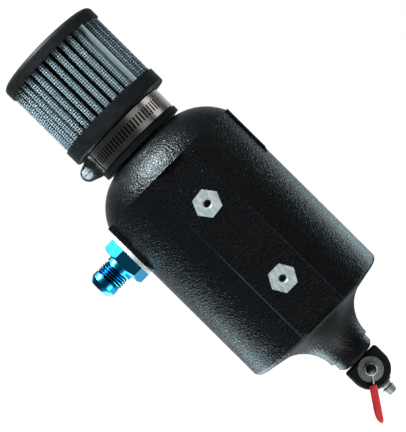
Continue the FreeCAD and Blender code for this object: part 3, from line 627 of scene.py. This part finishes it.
def pleat_line_tree():
    tree, size = new_tree("pleat line", PLEAT_INPUTS)
    calc = partial(math_node, tree)

    def between(crest, valley):
        return calc("ADD", crest, calc("MULTIPLY", in_valley, calc("SUBTRACT", valley, crest)))

    def chance(shift):
        seed = calc("ADD", size["Seed"], shift)
        pick = add(tree, "FunctionNodeRandomValue", {"ID": fold, "Seed": seed}, data_type="FLOAT")
        pick.inputs[2].default_value = -1.0
        pick.inputs[3].default_value = 1.0
        return calc("MULTIPLY", pick.outputs[1], free)

    index = out(tree, "GeometryNodeInputIndex")
    corner = calc("MODULO", index, CORNERS)
    pleat = calc("FLOOR", calc("DIVIDE", index, CORNERS))
    in_valley = calc("GREATER_THAN", corner, 1.5)
    side = calc("SUBTRACT", calc("MULTIPLY", calc("MODULO", corner, 2.0), 2.0), 1.0)
    at_seam = calc("MULTIPLY", calc("LESS_THAN", pleat, 0.5), calc("SUBTRACT", 1.0, in_valley))
    fold = calc("FLOOR", calc("DIVIDE", index, 2.0))
    free = calc("MULTIPLY", size["Unevenness"], calc("SUBTRACT", 1.0, at_seam))

    radius = between(size["Crest radius"], size["Valley radius"])
    radius = calc("SUBTRACT", radius, calc("MULTIPLY", at_seam, size["Seam sink"]))
    radius = calc("ADD", radius, chance(0.0))
    width = between(size["Crest width"], size["Valley width"])
    width = calc("SUBTRACT", width, calc("MULTIPLY", at_seam, size["Seam narrowing"]))
    aside = calc("ADD", calc("MULTIPLY", side, calc("MULTIPLY", width, 0.5)), chance(1.0))
    turns = calc("DIVIDE", calc("ADD", pleat, calc("MULTIPLY", in_valley, 0.5)), size["Pleats"])
    angle = calc("ADD", size["Seam turn"], calc("MULTIPLY", turns, 2 * math.pi))
    angle = calc("ADD", angle, calc("DIVIDE", aside, radius))
    place = xyz(tree, calc("MULTIPLY", radius, calc("COSINE", angle)),
                calc("MULTIPLY", radius, calc("SINE", angle)))
    place = vector_math(tree, "ADD", place, size["Centre"])

    points = calc("MULTIPLY", size["Pleats"], CORNERS)
    circle = out(tree, "GeometryNodeCurvePrimitiveCircle", {"Resolution": points}, mode="RADIUS")
    bent = out(tree, "GeometryNodeSetPosition", {"Geometry": circle, "Position": place})
    rounds = between(size["Crest round"], size["Valley round"])
    eased = out(tree, "GeometryNodeFilletCurve", {
        "Curve": bent, "Count": ROUND_STEPS, "Radius": rounds, "Limit Radius": True}, mode="POLY")
    add(tree, "NodeGroupOutput", {"Geometry": eased})
    return tree


pleat_line = pleat_line_tree()
print("pleat line tree:", len(pleat_line.nodes), "nodes")

# %% [markdown]
# ## The cotton's finish
# The cotton carries painted shade: it darkens from crest to valley, standing in for the shadow deep in
# the folds. The finish works out how far each point is from the tank's axis and blends the two tones by
# that. Fibres and blotches shift the blend a little, because an even one looks like a painted band.

# %% Cotton finish
CREST_R = 42.9 * MM
VALLEY_R = 31.9 * MM
# Painted shade: the cotton's colour deep in the valleys, where the pleats are in shadow.
COTTON_VALLEY_SHADE = (0.003, 0.003, 0.0037)
COTTON_LIGHT = (0.052, 0.062, 0.067)
VALLEY_SHADE_TO = VALLEY_R + 5 * MM
LIGHT_FROM = CREST_R + 2 * MM
FIBRES_PER_METRE = 2400
FIBRE_DEPTH = 0.06 * MM
FIBRE_SHIFT = 1.5 * MM
BLOTCHES_PER_METRE = 220
BLOTCH_SHIFT = 3 * MM
SQUARE_TO_Z = (1, 1, 0)


def from_axis(tree, place, axis, square_to):
    """How far a place is from an axis through a point; square_to picks the two other directions."""
    offset = vector_math(tree, "SUBTRACT", place, tuple(axis))
    return length_of(tree, vector_math(tree, "MULTIPLY", offset, square_to))


def filter_cotton():
    material, tree, shader = new_finish("filter_cotton", COTTON_LIGHT, 0.85, specular=0.2)
    place = object_coordinates(tree)
    fibres = noise(tree, place, FIBRES_PER_METRE, detail=4.0)
    blotches = noise(tree, place, BLOTCHES_PER_METRE)
    shade = from_axis(tree, place, tank_axis, SQUARE_TO_Z)
    for texture, shift in ((blotches, BLOTCH_SHIFT), (fibres, FIBRE_SHIFT)):
        shade = plus(tree, shade, times(tree, texture, shift))
    # Painted shade: the cloth darkens towards the valleys, standing in for the shadow between the pleats.
    vary_colour(tree, shader, shade, COTTON_VALLEY_SHADE, COTTON_LIGHT, VALLEY_SHADE_TO, LIGHT_FROM)
    bump(tree, shader, fibres, FIBRE_DEPTH)
    return material


cotton = filter_cotton()
print("cotton: dark up to %.1f mm from the axis, light from %.1f mm" % (VALLEY_SHADE_TO / MM, LIGHT_FROM / MM))

# %% [markdown]
# ## The cotton
# The strip's outline is drawn as edges, pulled up to the height of the filter and given the thickness
# of a layer of cotton. It reaches a little way into the rubber at both ends, which is cast round it.

# %% Cotton
media_low, media_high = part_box("filter_media")
INTO_RUBBER = 0.3 * MM
CLOTH_H = media_high.z - media_low.z + 2 * INTO_RUBBER
COTTON_T = 0.7 * MM
SAME_POINT = 0.01 * MM
PLEAT_SIZES = {
    "Pleats": 35, "Crest radius": CREST_R, "Crest width": 2.5 * MM, "Crest round": 1.2 * MM,
    "Valley radius": VALLEY_R, "Valley width": 0.9 * MM, "Valley round": 0.4 * MM,
    "Seam sink": 0.9 * MM, "Seam narrowing": 0.4 * MM, "Seam turn": math.radians(-47.5),
    "Unevenness": 0.18 * MM, "Seed": 7,
    "Centre": (tank_axis.x, tank_axis.y, media_low.z - INTO_RUBBER)}


def follow_pleats(tree, size):
    """The pleat line inside another tree, with that tree's own inputs."""
    line = add(tree, "GeometryNodeGroup", node_tree=pleat_line)
    for label in PLEAT_INPUTS:
        tree.links.new(size[label], line.inputs[label])
    return line.outputs[0]


def cotton_tree():
    tree, size = new_tree("cotton", {**PLEAT_INPUTS, "Height": "Float", "Finish": "Material"})
    edges = out(tree, "GeometryNodeCurveToMesh", {"Curve": follow_pleats(tree, size)})
    single = out(tree, "GeometryNodeMergeByDistance", {"Geometry": edges, "Distance": SAME_POINT})
    wall = out(tree, "GeometryNodeExtrudeMesh", {
        "Mesh": single, "Offset": xyz(tree, z=size["Height"]), "Offset Scale": 1.0}, mode="EDGES")
    end_tree(tree, wall, size["Finish"])
    return tree


def faces_outwards(piece, axis):
    """Turns a wall round, if its first face looks at the axis."""
    face = piece.data.polygons[0]
    if face.normal.dot(face.center - Vector((axis.x, axis.y, face.center.z))) < 0:
        piece.data.flip_normals()


cloth = grow("pleated_cotton", cotton_tree(), {**PLEAT_SIZES, "Height": CLOTH_H, "Finish": cotton})
faces_outwards(cloth, tank_axis)
thick = cloth.modifiers.new("thickness", "SOLIDIFY")
thick.thickness = COTTON_T
thick.offset = -1
plain_mesh(cloth)
smooth(cloth, 50)
hand_over(cloth, "tank", "filter_media")

# %% [markdown]
# ## The gauze's finish
# The gauze is coated wire. A painted highlight lightens it on the crests of the pleats, most of all where
# a wire comes to the top of the weave, and painted shade leaves it dark down in the folds. Each point of
# a wire carries how far it stands out, from -1 to 1, as a named attribute, and the finish multiplies that
# with the distance from the axis.

# %% Gauze finish
PROUD = "proud"
# The gauze's painted shade in the folds; its bright tone shows as a painted highlight on the crests.
GAUZE_PAINTED_SHADE = (0.004, 0.004, 0.005)
GAUZE_BRIGHT = (0.62, 0.76, 0.82)
CREST_HIGHLIGHT_W = 3.2 * MM
LEAST_CREST_HIGHLIGHT = 0.12


def filter_gauze():
    material, tree, shader = new_finish("filter_gauze", GAUZE_BRIGHT, 0.4, metallic=0.3)
    place = object_coordinates(tree)
    reach = from_axis(tree, place, tank_axis, SQUARE_TO_Z)
    on_crest = ramp(tree, reach, CREST_R - CREST_HIGHLIGHT_W, CREST_R)
    proud = add(tree, "ShaderNodeAttribute", attribute_name=PROUD).outputs["Fac"]
    on_top = ramp(tree, proud, -1.0, 1.0, LEAST_CREST_HIGHLIGHT)
    painted_light = times(tree, on_crest, on_top)
    # Painted highlight and shade: bright on the crests and the proud wires, dark down in the folds.
    vary_colour(tree, shader, painted_light, GAUZE_PAINTED_SHADE, GAUZE_BRIGHT, 0.0, 1.0)
    vary_roughness(tree, shader, noise(tree, place, 900), 0.4, 0.6)
    return material


gauze_steel = filter_gauze()
print("gauze: bright over the last %.1f mm of each crest" % (CREST_HIGHLIGHT_W / MM))

# %% [markdown]
# ## The weave
# A woven wire gauze lies over the cotton and keeps the pleats open. Each wire goes over and under the
# wires that it crosses. Both sets of wires start from the pleat line with one point at each crossing,
# and move every second point out of the weave and the others into it.

# %% Helpers for the weave
WIRE_SIDES = 4
GAUZE_INPUTS = {
    **PLEAT_INPUTS, "Wires round": "Int", "Rows": "Int", "Row pitch": "Float", "Wire radius": "Float",
    "Lift": "Float", "Weave": "Float", "Finish": "Material"}


def odd_points(tree):
    return math_node(tree, "MODULO", out(tree, "GeometryNodeInputIndex"), 2.0)


def zigzag(tree, first):
    """+1 and -1 by turns along a line's points, starting with first."""
    return math_node(tree, "SUBTRACT", first, times(tree, odd_points(tree), 2.0 * first))


def gauze_line(tree, size):
    """The pleat line with a point at each crossing, and the direction straight out of it."""
    line = out(tree, "GeometryNodeResampleCurve", {
        "Curve": follow_pleats(tree, size), "Count": size["Wires round"]})
    tangent = out(tree, "GeometryNodeInputTangent")
    return line, vector_math(tree, "CROSS_PRODUCT", tangent, (0, 0, 1))


def weave(tree, line, first, offset):
    """Moves a line's points and marks on each how far it stands out of the weave."""
    moved = out(tree, "GeometryNodeSetPosition", {"Geometry": line, "Offset": offset})
    return out(tree, "GeometryNodeStoreNamedAttribute", {
        "Geometry": moved, "Name": PROUD, "Value": zigzag(tree, first)})


def wire(tree, size, lines):
    """Gives every line the thickness of a wire."""
    real = out(tree, "GeometryNodeRealizeInstances", {0: lines})
    section = out(tree, "GeometryNodeCurvePrimitiveCircle", {
        "Resolution": WIRE_SIDES, "Radius": size["Wire radius"]}, mode="RADIUS")
    tube = out(tree, "GeometryNodeCurveToMesh", {
        "Curve": real, "Profile Curve": section, "Fill Caps": True})
    end_tree(tree, tube, size["Finish"])


print("inputs of the gauze:", len(GAUZE_INPUTS))

# %% [markdown]
# ## Wires round the ring
# The wires round the ring are copies of the pleat line, one above the other. There are two lines, woven
# the opposite way, and each is copied onto every second row.

# %% Round wires tree
def gauze_rounds_tree():
    tree, size = new_tree("gauze rounds", GAUZE_INPUTS)
    line, outward = gauze_line(tree, size)
    rows = math_node(tree, "CEIL", math_node(tree, "DIVIDE", size["Rows"], 2.0))
    step = xyz(tree, z=times(tree, size["Row pitch"], 2.0))
    stacks = []
    for first, start in ((1.0, 0.0), (-1.0, 1.0)):
        sway = times(tree, size["Weave"], zigzag(tree, first))
        push = scaled(tree, outward, plus(tree, size["Lift"], sway))
        woven = weave(tree, line, first, push)
        foot = xyz(tree, z=times(tree, size["Row pitch"], start))
        heights = out(tree, "GeometryNodeMeshLine", {
            "Count": rows, "Start Location": foot, "Offset": step})
        stacks.append(out(tree, "GeometryNodeInstanceOnPoints", {
            "Points": heights, "Instance": woven}))
    wire(tree, size, join(tree, stacks))
    return tree


rounds_tree = gauze_rounds_tree()
print("round wires tree:", len(rounds_tree.nodes), "nodes")

# %% [markdown]
# ## Upright wires
# The upright wires stand on the points of the same line, turned to face straight out of the pleat. They
# bend the other way from the round wires, so that the two sets pass each other at every crossing.

# %% Upright wires tree
def gauze_uprights_tree():
    tree, size = new_tree("gauze uprights", GAUZE_INPUTS)
    line, outward = gauze_line(tree, size)
    lift = scaled(tree, outward, size["Lift"])
    feet = out(tree, "GeometryNodeSetPosition", {"Geometry": line, "Offset": lift})
    facing = out(tree, "FunctionNodeAlignRotationToVector", {
        "Vector": outward}, axis="X", pivot_axis="Z")
    height = times(tree, size["Row pitch"], math_node(tree, "SUBTRACT", size["Rows"], 1.0))
    straight = out(tree, "GeometryNodeCurvePrimitiveLine", {"End": xyz(tree, z=height)})
    marked = out(tree, "GeometryNodeResampleCurve", {"Curve": straight, "Count": size["Rows"]})
    odd = odd_points(tree)
    even = math_node(tree, "LESS_THAN", odd, 0.5)
    stands = []
    for first, chosen in ((-1.0, even), (1.0, odd)):
        sway = times(tree, size["Weave"], zigzag(tree, first))
        woven = weave(tree, marked, first, xyz(tree, x=sway))
        stands.append(out(tree, "GeometryNodeInstanceOnPoints", {
            "Points": feet, "Selection": chosen, "Instance": woven, "Rotation": facing}))
    wire(tree, size, join(tree, stands))
    return tree


uprights_tree = gauze_uprights_tree()
print("upright wires tree:", len(uprights_tree.nodes), "nodes")

# %% [markdown]
# ## The wire gauze
# Both trees take the same sizes. The number of rows is even, so that the two kinds of row are alike in
# number, and the wires are about as far apart up the filter as they are round it.

# %% Gauze
WIRE_PITCH = 1.85 * MM
GAUZE_ROWS = 2 * round(CLOTH_H / WIRE_PITCH / 2)
GAUZE_SIZES = {
    **PLEAT_SIZES, "Wires round": 556, "Rows": GAUZE_ROWS, "Row pitch": CLOTH_H / (GAUZE_ROWS - 1),
    "Wire radius": 0.28 * MM, "Lift": 0.5 * MM, "Weave": 0.24 * MM, "Finish": gauze_steel}
for name, tree in (("gauze_rounds", rounds_tree), ("gauze_uprights", uprights_tree)):
    hand_over(grow(name, tree, GAUZE_SIZES), "tank", "filter_media")

# %% [markdown]
# ## Screw threads
# A thread is a ridge that climbs one pitch for each turn. A flat grid is rolled into a tube, and the
# height of each point, less its share of a turn, says how far up the ridge it is. The ridge fades at
# both ends, where a real thread runs out. The last rows lead back inside the metal to the first, so
# the result is a closed ring. The same tree makes a thread in a hole: its depth is then negative.

# %% Thread tree
RIDGE_STEEPNESS = 1.3
ROOT_FLAT = 0.15
SEAM_GAP = 0.002 * MM
THREAD_INPUTS = {
    "Crest radius": "Float", "Depth": "Float", "Core radius": "Float", "Pitch": "Float",
    "Length": "Float", "Run-out": "Float", "Sides": "Int", "Rings": "Int", "Finish": "Material"}


def thread_tree():
    tree, size = new_tree("thread", THREAD_INPUTS)
    calc = partial(math_node, tree)
    grid = out(tree, "GeometryNodeMeshGrid", {
        "Size X": 1.0, "Size Y": 1.0, "Vertices X": calc("ADD", size["Sides"], 1.0),
        "Vertices Y": calc("ADD", size["Rings"], 3.0)})
    spot = separate(tree, out(tree, "GeometryNodeInputPosition"))
    turn = calc("ADD", spot["X"], 0.5)
    row = calc("MULTIPLY", calc("ADD", spot["Y"], 0.5), calc("ADD", size["Rings"], 2.0))
    back_row = calc("GREATER_THAN", row, calc("ADD", size["Rings"], 1.5))
    share = calc("DIVIDE", calc("SUBTRACT", row, 1.0), calc("SUBTRACT", size["Rings"], 1.0), clamp=True)
    height = calc("MULTIPLY", calc("MULTIPLY", share, size["Length"]), calc("SUBTRACT", 1.0, back_row))

    climb = calc("FRACT", calc("SUBTRACT", calc("DIVIDE", height, size["Pitch"]), turn))
    ridge = calc("ABSOLUTE", calc("SUBTRACT", calc("MULTIPLY", climb, 2.0), 1.0))
    ridge = calc("SUBTRACT", calc("MULTIPLY", ridge, RIDGE_STEEPNESS), ROOT_FLAT, clamp=True)
    to_end = calc("MINIMUM", height, calc("SUBTRACT", size["Length"], height))
    ridge = calc("MULTIPLY", ridge, calc("DIVIDE", to_end, size["Run-out"], clamp=True))
    cut = calc("MULTIPLY", size["Depth"], calc("SUBTRACT", 1.0, ridge))
    radius = calc("SUBTRACT", size["Crest radius"], cut)
    last_rows = calc("GREATER_THAN", row, calc("ADD", size["Rings"], 0.5))
    inside = calc("MAXIMUM", calc("LESS_THAN", row, 0.5), last_rows)
    radius = calc("ADD", radius, calc("MULTIPLY", inside, calc("SUBTRACT", size["Core radius"], radius)))

    angle = calc("MULTIPLY", turn, 2 * math.pi)
    place = xyz(tree, calc("MULTIPLY", radius, calc("COSINE", angle)),
                calc("MULTIPLY", radius, calc("SINE", angle)), height)
    rolled = out(tree, "GeometryNodeSetPosition", {"Geometry": grid, "Position": place})
    closed = out(tree, "GeometryNodeMergeByDistance", {"Geometry": rolled, "Distance": SEAM_GAP})
    end_tree(tree, closed, size["Finish"])
    return tree


thread = thread_tree()
print("thread tree:", len(thread.nodes), "nodes")

# %% [markdown]
# ## Cutting a thread
# The tree winds its thread round its own upright axis, so the result is laid where it belongs
# afterwards. A rolled grid may come out with its faces inwards, so they are turned outwards too.

# %% Helper for threads
STEPS_PER_PITCH = 8


def outside_out(piece):
    """Turns all faces of a closed shape outwards."""
    shape = bmesh.new()
    shape.from_mesh(piece.data)
    bmesh.ops.recalc_face_normals(shape, faces=shape.faces)
    shape.to_mesh(piece.data)
    shape.free()


def cut_thread(name, place, crest, depth, core, pitch, length, sides, finish):
    """A thread along place's own Z axis."""
    rings = max(2, round(STEPS_PER_PITCH * length / pitch))
    piece = grow(name, thread, {
        "Crest radius": crest, "Depth": depth, "Core radius": core, "Pitch": pitch, "Length": length,
        "Run-out": pitch, "Sides": sides, "Rings": rings, "Finish": finish})
    piece.data.transform(place)
    outside_out(piece)
    smooth(piece, 40)
    return piece


print("steps for each pitch:", STEPS_PER_PITCH)

# %% [markdown]
# ## The inlet fitting
# The fitting is turned from hexagon bar: a shank through the wall, the hexagon, a plain shoulder, the
# thread, a smooth land and the sloping nose that a flared hose end seals against. Its length and place
# come from its solid and from the washer that the hexagon presses on.

# %% Sizes of the inlet fitting
FLATS = 33.3 * MM
HEX_TURN = math.radians(-7.5)
HEX_H = 9.8 * MM
CHAMFER_SLOPE = math.tan(math.radians(30))
CHAMFER_L = 2.2 * MM
CHAMFER_IN = 0.3 * MM
CHAMFER_STEPS = 8
SHOULDER_R = 11.0 * MM
SHOULDER_L = 4.6 * MM
FILLET = 0.4 * MM
RELIEF = 0.9 * MM
GROOVE_R = 9.3 * MM
THREAD_R = 11.1 * MM
THREAD_DEPTH = 1.15 * MM
THREAD_PITCH = 2.117 * MM
THREAD_SIDES = 72
THREAD_CORE_R = 9.1 * MM
NOSE_LAND_R = 10.8 * MM
NOSE_LAND_L = 5.0 * MM
NOSE_TIP_R = 7.6 * MM
NOSE_L = 4.25 * MM
BORE_R = 6.15 * MM
EDGE = 0.35 * MM
SLOPE = 0.2 * MM
STEP = 0.1 * MM

fit_low, fit_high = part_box("inlet_fitting")
fit_axis = box_middle("inlet_fitting")
washer_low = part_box("inlet_washer_outer")[0]
fit_length = fit_high.x - fit_low.x
hex_foot = fit_high.x - washer_low.x
hex_end = hex_foot + HEX_H
thread_start = hex_end + SHOULDER_L
nose_start = fit_length - NOSE_L
thread_end = nose_start - NOSE_LAND_L
inlet_place = Matrix((
    (0, 0, -1, fit_high.x), (0, 1, 0, fit_axis.y), (1, 0, 0, fit_axis.z), (0, 0, 0, 1)))
print("fitting %.1f mm long, thread %.1f mm" % (fit_length / MM, (thread_end - thread_start) / MM))

# %% [markdown]
# ## Skins over rings
# The fitting and the grip are both built ring by ring along their own axis, and a skin of four-sided
# faces joins each ring to the next and the last to the first. A turned profile would do for the round
# parts alone, but here a ring may have any outline, such as a hexagon or a rounded oblong.

# %% Helper for skins
def skin_of_rings(name, rings, place, finish):
    shape = bmesh.new()
    loops = [[shape.verts.new(place @ point) for point in ring] for ring in rings]
    for here, after in zip(loops, loops[1:] + loops[:1]):
        for i in range(len(here)):
            j = (i + 1) % len(here)
            shape.faces.new((here[i], here[j], after[j], after[i]))
    bmesh.ops.recalc_face_normals(shape, faces=shape.faces)
    mesh = bpy.data.meshes.new(name)
    shape.to_mesh(mesh)
    shape.free()
    mesh.materials.append(finish)
    piece = bpy.data.objects.new(name, mesh)
    scene.collection.objects.link(piece)
    smooth(piece, 25)
    print("%s: skin over %d rings of %d points" % (name, len(rings), len(rings[0])))
    return piece


# %% [markdown]
# ## Turning the fitting
# On the hexagon each ring's radius depends on the angle. Near its outer end the ring is held inside a
# cone, which leaves the curved edges that a chamfer gives on real nuts. The rings go out along the
# outside and back through the bore, so the piece is one closed skin.

# %% Flare fitting
SIDES = 144


def hexagon_radius(angle):
    step = math.radians(60)
    return FLATS / 2 / math.cos((angle - HEX_TURN) % step - step / 2)


def ring_of(height, radius):
    """One ring of points; radius is a number or a function of the angle."""
    angles = [HEX_TURN + 2 * math.pi * i / SIDES for i in range(SIDES)]
    reach = [radius(a) if callable(radius) else radius for a in angles]
    return [Vector((r * math.cos(a), r * math.sin(a), height)) for a, r in zip(angles, reach)]


def chamfered(height):
    cone = FLATS / 2 - CHAMFER_IN + (hex_end - height) / CHAMFER_SLOPE
    return ring_of(height, lambda angle: min(hexagon_radius(angle), cone))


def fitting_rings():
    shank = [(0, SHOULDER_R - EDGE), (EDGE, SHOULDER_R), (hex_foot, SHOULDER_R)]
    hexagon = [ring_of(hex_foot, hexagon_radius), ring_of(hex_end - CHAMFER_L, hexagon_radius)]
    for k in range(1, CHAMFER_STEPS + 1):
        hexagon.append(chamfered(hex_end - CHAMFER_L * (1 - k / CHAMFER_STEPS)))
    relief = thread_start - RELIEF
    rest = [
        (hex_end, SHOULDER_R + FILLET), (hex_end + FILLET, SHOULDER_R),
        (relief - EDGE, SHOULDER_R), (relief, SHOULDER_R - EDGE),
        (relief + STEP, GROOVE_R), (thread_end - SLOPE, GROOVE_R),
        (thread_end, NOSE_LAND_R - EDGE), (thread_end + EDGE, NOSE_LAND_R),
        (nose_start - EDGE, NOSE_LAND_R), (nose_start, NOSE_LAND_R - STEP),
        (fit_length - EDGE, NOSE_TIP_R + SLOPE), (fit_length, NOSE_TIP_R - EDGE),
        (fit_length, BORE_R + EDGE), (fit_length - EDGE, BORE_R), (EDGE, BORE_R), (0, BORE_R + EDGE)]
    return [ring_of(*r) for r in shank] + hexagon + [ring_of(*r) for r in rest]


fitting = skin_of_rings("flare_fitting", fitting_rings(), inlet_place, blue)
hand_over(fitting, "tank", "inlet_fitting")

# %% [markdown]
# ## The fitting's thread
# The thread is a piece of its own, laid into a groove of the fitting. Its finish is the same blue with
# painted shade in the roots of the thread, found by the distance from the fitting's axis.

# %% Flare thread
# The painted shade in the roots of the thread.
ROOT_PAINTED_SHADE = (0.003, 0.016, 0.04)
ROOT_SHADE_TO = THREAD_R - 0.85 * THREAD_DEPTH
UNSHADED_FROM = THREAD_R - 0.1 * THREAD_DEPTH
SQUARE_TO_X = (0, 1, 1)


def blue_thread():
    material, tree, shader = new_finish("blue_thread", BLUE, ANODISED_ROUGHNESS, metallic=1.0)
    reach = from_axis(tree, object_coordinates(tree), fit_axis, SQUARE_TO_X)
    # Painted shade: darker towards the roots, standing in for the shadow between the ridges.
    vary_colour(tree, shader, reach, ROOT_PAINTED_SHADE, BLUE_BRIGHT, ROOT_SHADE_TO, UNSHADED_FROM)
    return material


flare_thread = cut_thread(
    "flare_thread", inlet_place @ Matrix.Translation((0, 0, thread_start)), THREAD_R, THREAD_DEPTH,
    THREAD_CORE_R, THREAD_PITCH, thread_end - thread_start, THREAD_SIDES, blue_thread())
hand_over(flare_thread, "tank", "inlet_fitting")

# %% [markdown]
# ## Threads in the mounting inserts
# The bolts screw into the two aluminium inserts. The thread tree lines each hole, starting under the
# countersunk mouth. The lining reaches a little way into the metal, so that no gap shows behind it.

# %% Insert threads
HOLE_R = 3.175 * MM
BOLT_THREAD_DEPTH = 0.5 * MM
BOLT_PITCH = 1.27 * MM
BOLT_SIDES = 40
LINING_R = HOLE_R + 0.15 * MM
MOUTH_DEPTH = 0.5 * MM
TAPPED_L = 10.2 * MM

for node in ("mount_insert_upper", "mount_insert_lower"):
    low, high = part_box(node)
    middle = box_middle(node)
    into = Matrix((
        (1, 0, 0, middle.x), (0, 0, 1, low.y + MOUTH_DEPTH), (0, -1, 0, middle.z), (0, 0, 0, 1)))
    lining = cut_thread(
        node + "_thread", into, HOLE_R - BOLT_THREAD_DEPTH, -BOLT_THREAD_DEPTH, LINING_R,
        BOLT_PITCH, TAPPED_L, BOLT_SIDES, insert_aluminium)
    hand_over(lining, "tank")

# %% [markdown]
# ## The lever's grip
# The lever's end is dipped in red vinyl, which leaves a soft flat tab with a rounded mouth and a blunt
# tip that lies to one side of the wire. It is a skin over rings as well: each ring is a rounded oblong,
# and two short rules say how far its two edges are from the wire at each step along it.

# %% Section of the grip
GRIP_L = 29.4 * MM
GRIP_WIDE = 3.7 * MM
GRIP_NARROW = 2.3 * MM
GRIP_TIP = 0.7 * MM
GRIP_HALF_T = 1.6 * MM
WIDE_TO = 18.5 * MM
WIDE_POWER = 0.47
NARROW_TO = 26.0 * MM
NARROW_POWER = 0.5
MOUTH_L = 0.7 * MM
MOUTH_SHRINK = 0.18
LEAST_HALF = 0.02 * MM
SQUARENESS = 3
SECTION_POINTS = 40


def ease_off(step, start, end, power):
    """1 up to start, then down a rounded slope to 0 at end."""
    share = min(max((step - start) / (end - start), 0), 1)
    return (1 - share * share) ** power


def grip_ring(step, shrink=1.0):
    blunt = ease_off(step, NARROW_TO, GRIP_L, NARROW_POWER)
    wide = -GRIP_TIP + (GRIP_WIDE + GRIP_TIP) * ease_off(step, WIDE_TO, GRIP_L, WIDE_POWER)
    narrow = -GRIP_TIP - (GRIP_NARROW - GRIP_TIP) * blunt
    mouth = 1 - MOUTH_SHRINK * ease_off(step, 0, MOUTH_L, 1.0)
    half = max((wide - narrow) / 2, LEAST_HALF) * mouth * shrink
    thick = max(GRIP_HALF_T * blunt, LEAST_HALF) * mouth * shrink
    ring = []
    for i in range(SECTION_POINTS):
        angle = 2 * math.pi * i / SECTION_POINTS
        across, front = math.cos(angle), math.sin(angle)
        squarer = (abs(across) ** SQUARENESS + abs(front) ** SQUARENESS) ** (-1 / SQUARENESS)
        ring.append(Vector(((wide + narrow) / 2 + half * across * squarer, thick * front * squarer, step)))
    return ring


print("grip %.1f mm wide and %.1f mm thick" % ((GRIP_WIDE + GRIP_NARROW) / MM, 2 * GRIP_HALF_T / MM))

# %% [markdown]
# ## Dipping the grip
# The rings are set closer together towards the tip, where the outline bends fastest. Two small rings
# close the ends. The grip lies along the lever, which is found from the cock's disc, and turns with it.

# %% Dipped grip
LEVER_TURN = math.radians(34.7)
GRIP_FROM = 11.8 * MM
GRIP_STEPS = 40
END_SHRINK = 0.1

hub = box_middle("drain_disc")
lever_y = box_middle("drain_lever").y
along = Vector((-math.sin(LEVER_TURN), 0, -math.cos(LEVER_TURN)))
aside = Vector((-math.cos(LEVER_TURN), 0, math.sin(LEVER_TURN)))
foot = Vector((hub.x, lever_y, hub.z)) + along * GRIP_FROM
grip_place = Matrix.Translation(foot) @ Matrix((aside, Vector((0, -1, 0)), along)).transposed().to_4x4()
grip_rings = [grip_ring(GRIP_L * math.sin(math.pi / 2 * k / GRIP_STEPS)) for k in range(GRIP_STEPS + 1)]
grip_rings += [grip_ring(GRIP_L, END_SHRINK), grip_ring(0, END_SHRINK)]
grip = skin_of_rings("dipped_grip", grip_rings, grip_place, red_vinyl)
hand_over(grip, "lever", "lever_grip")
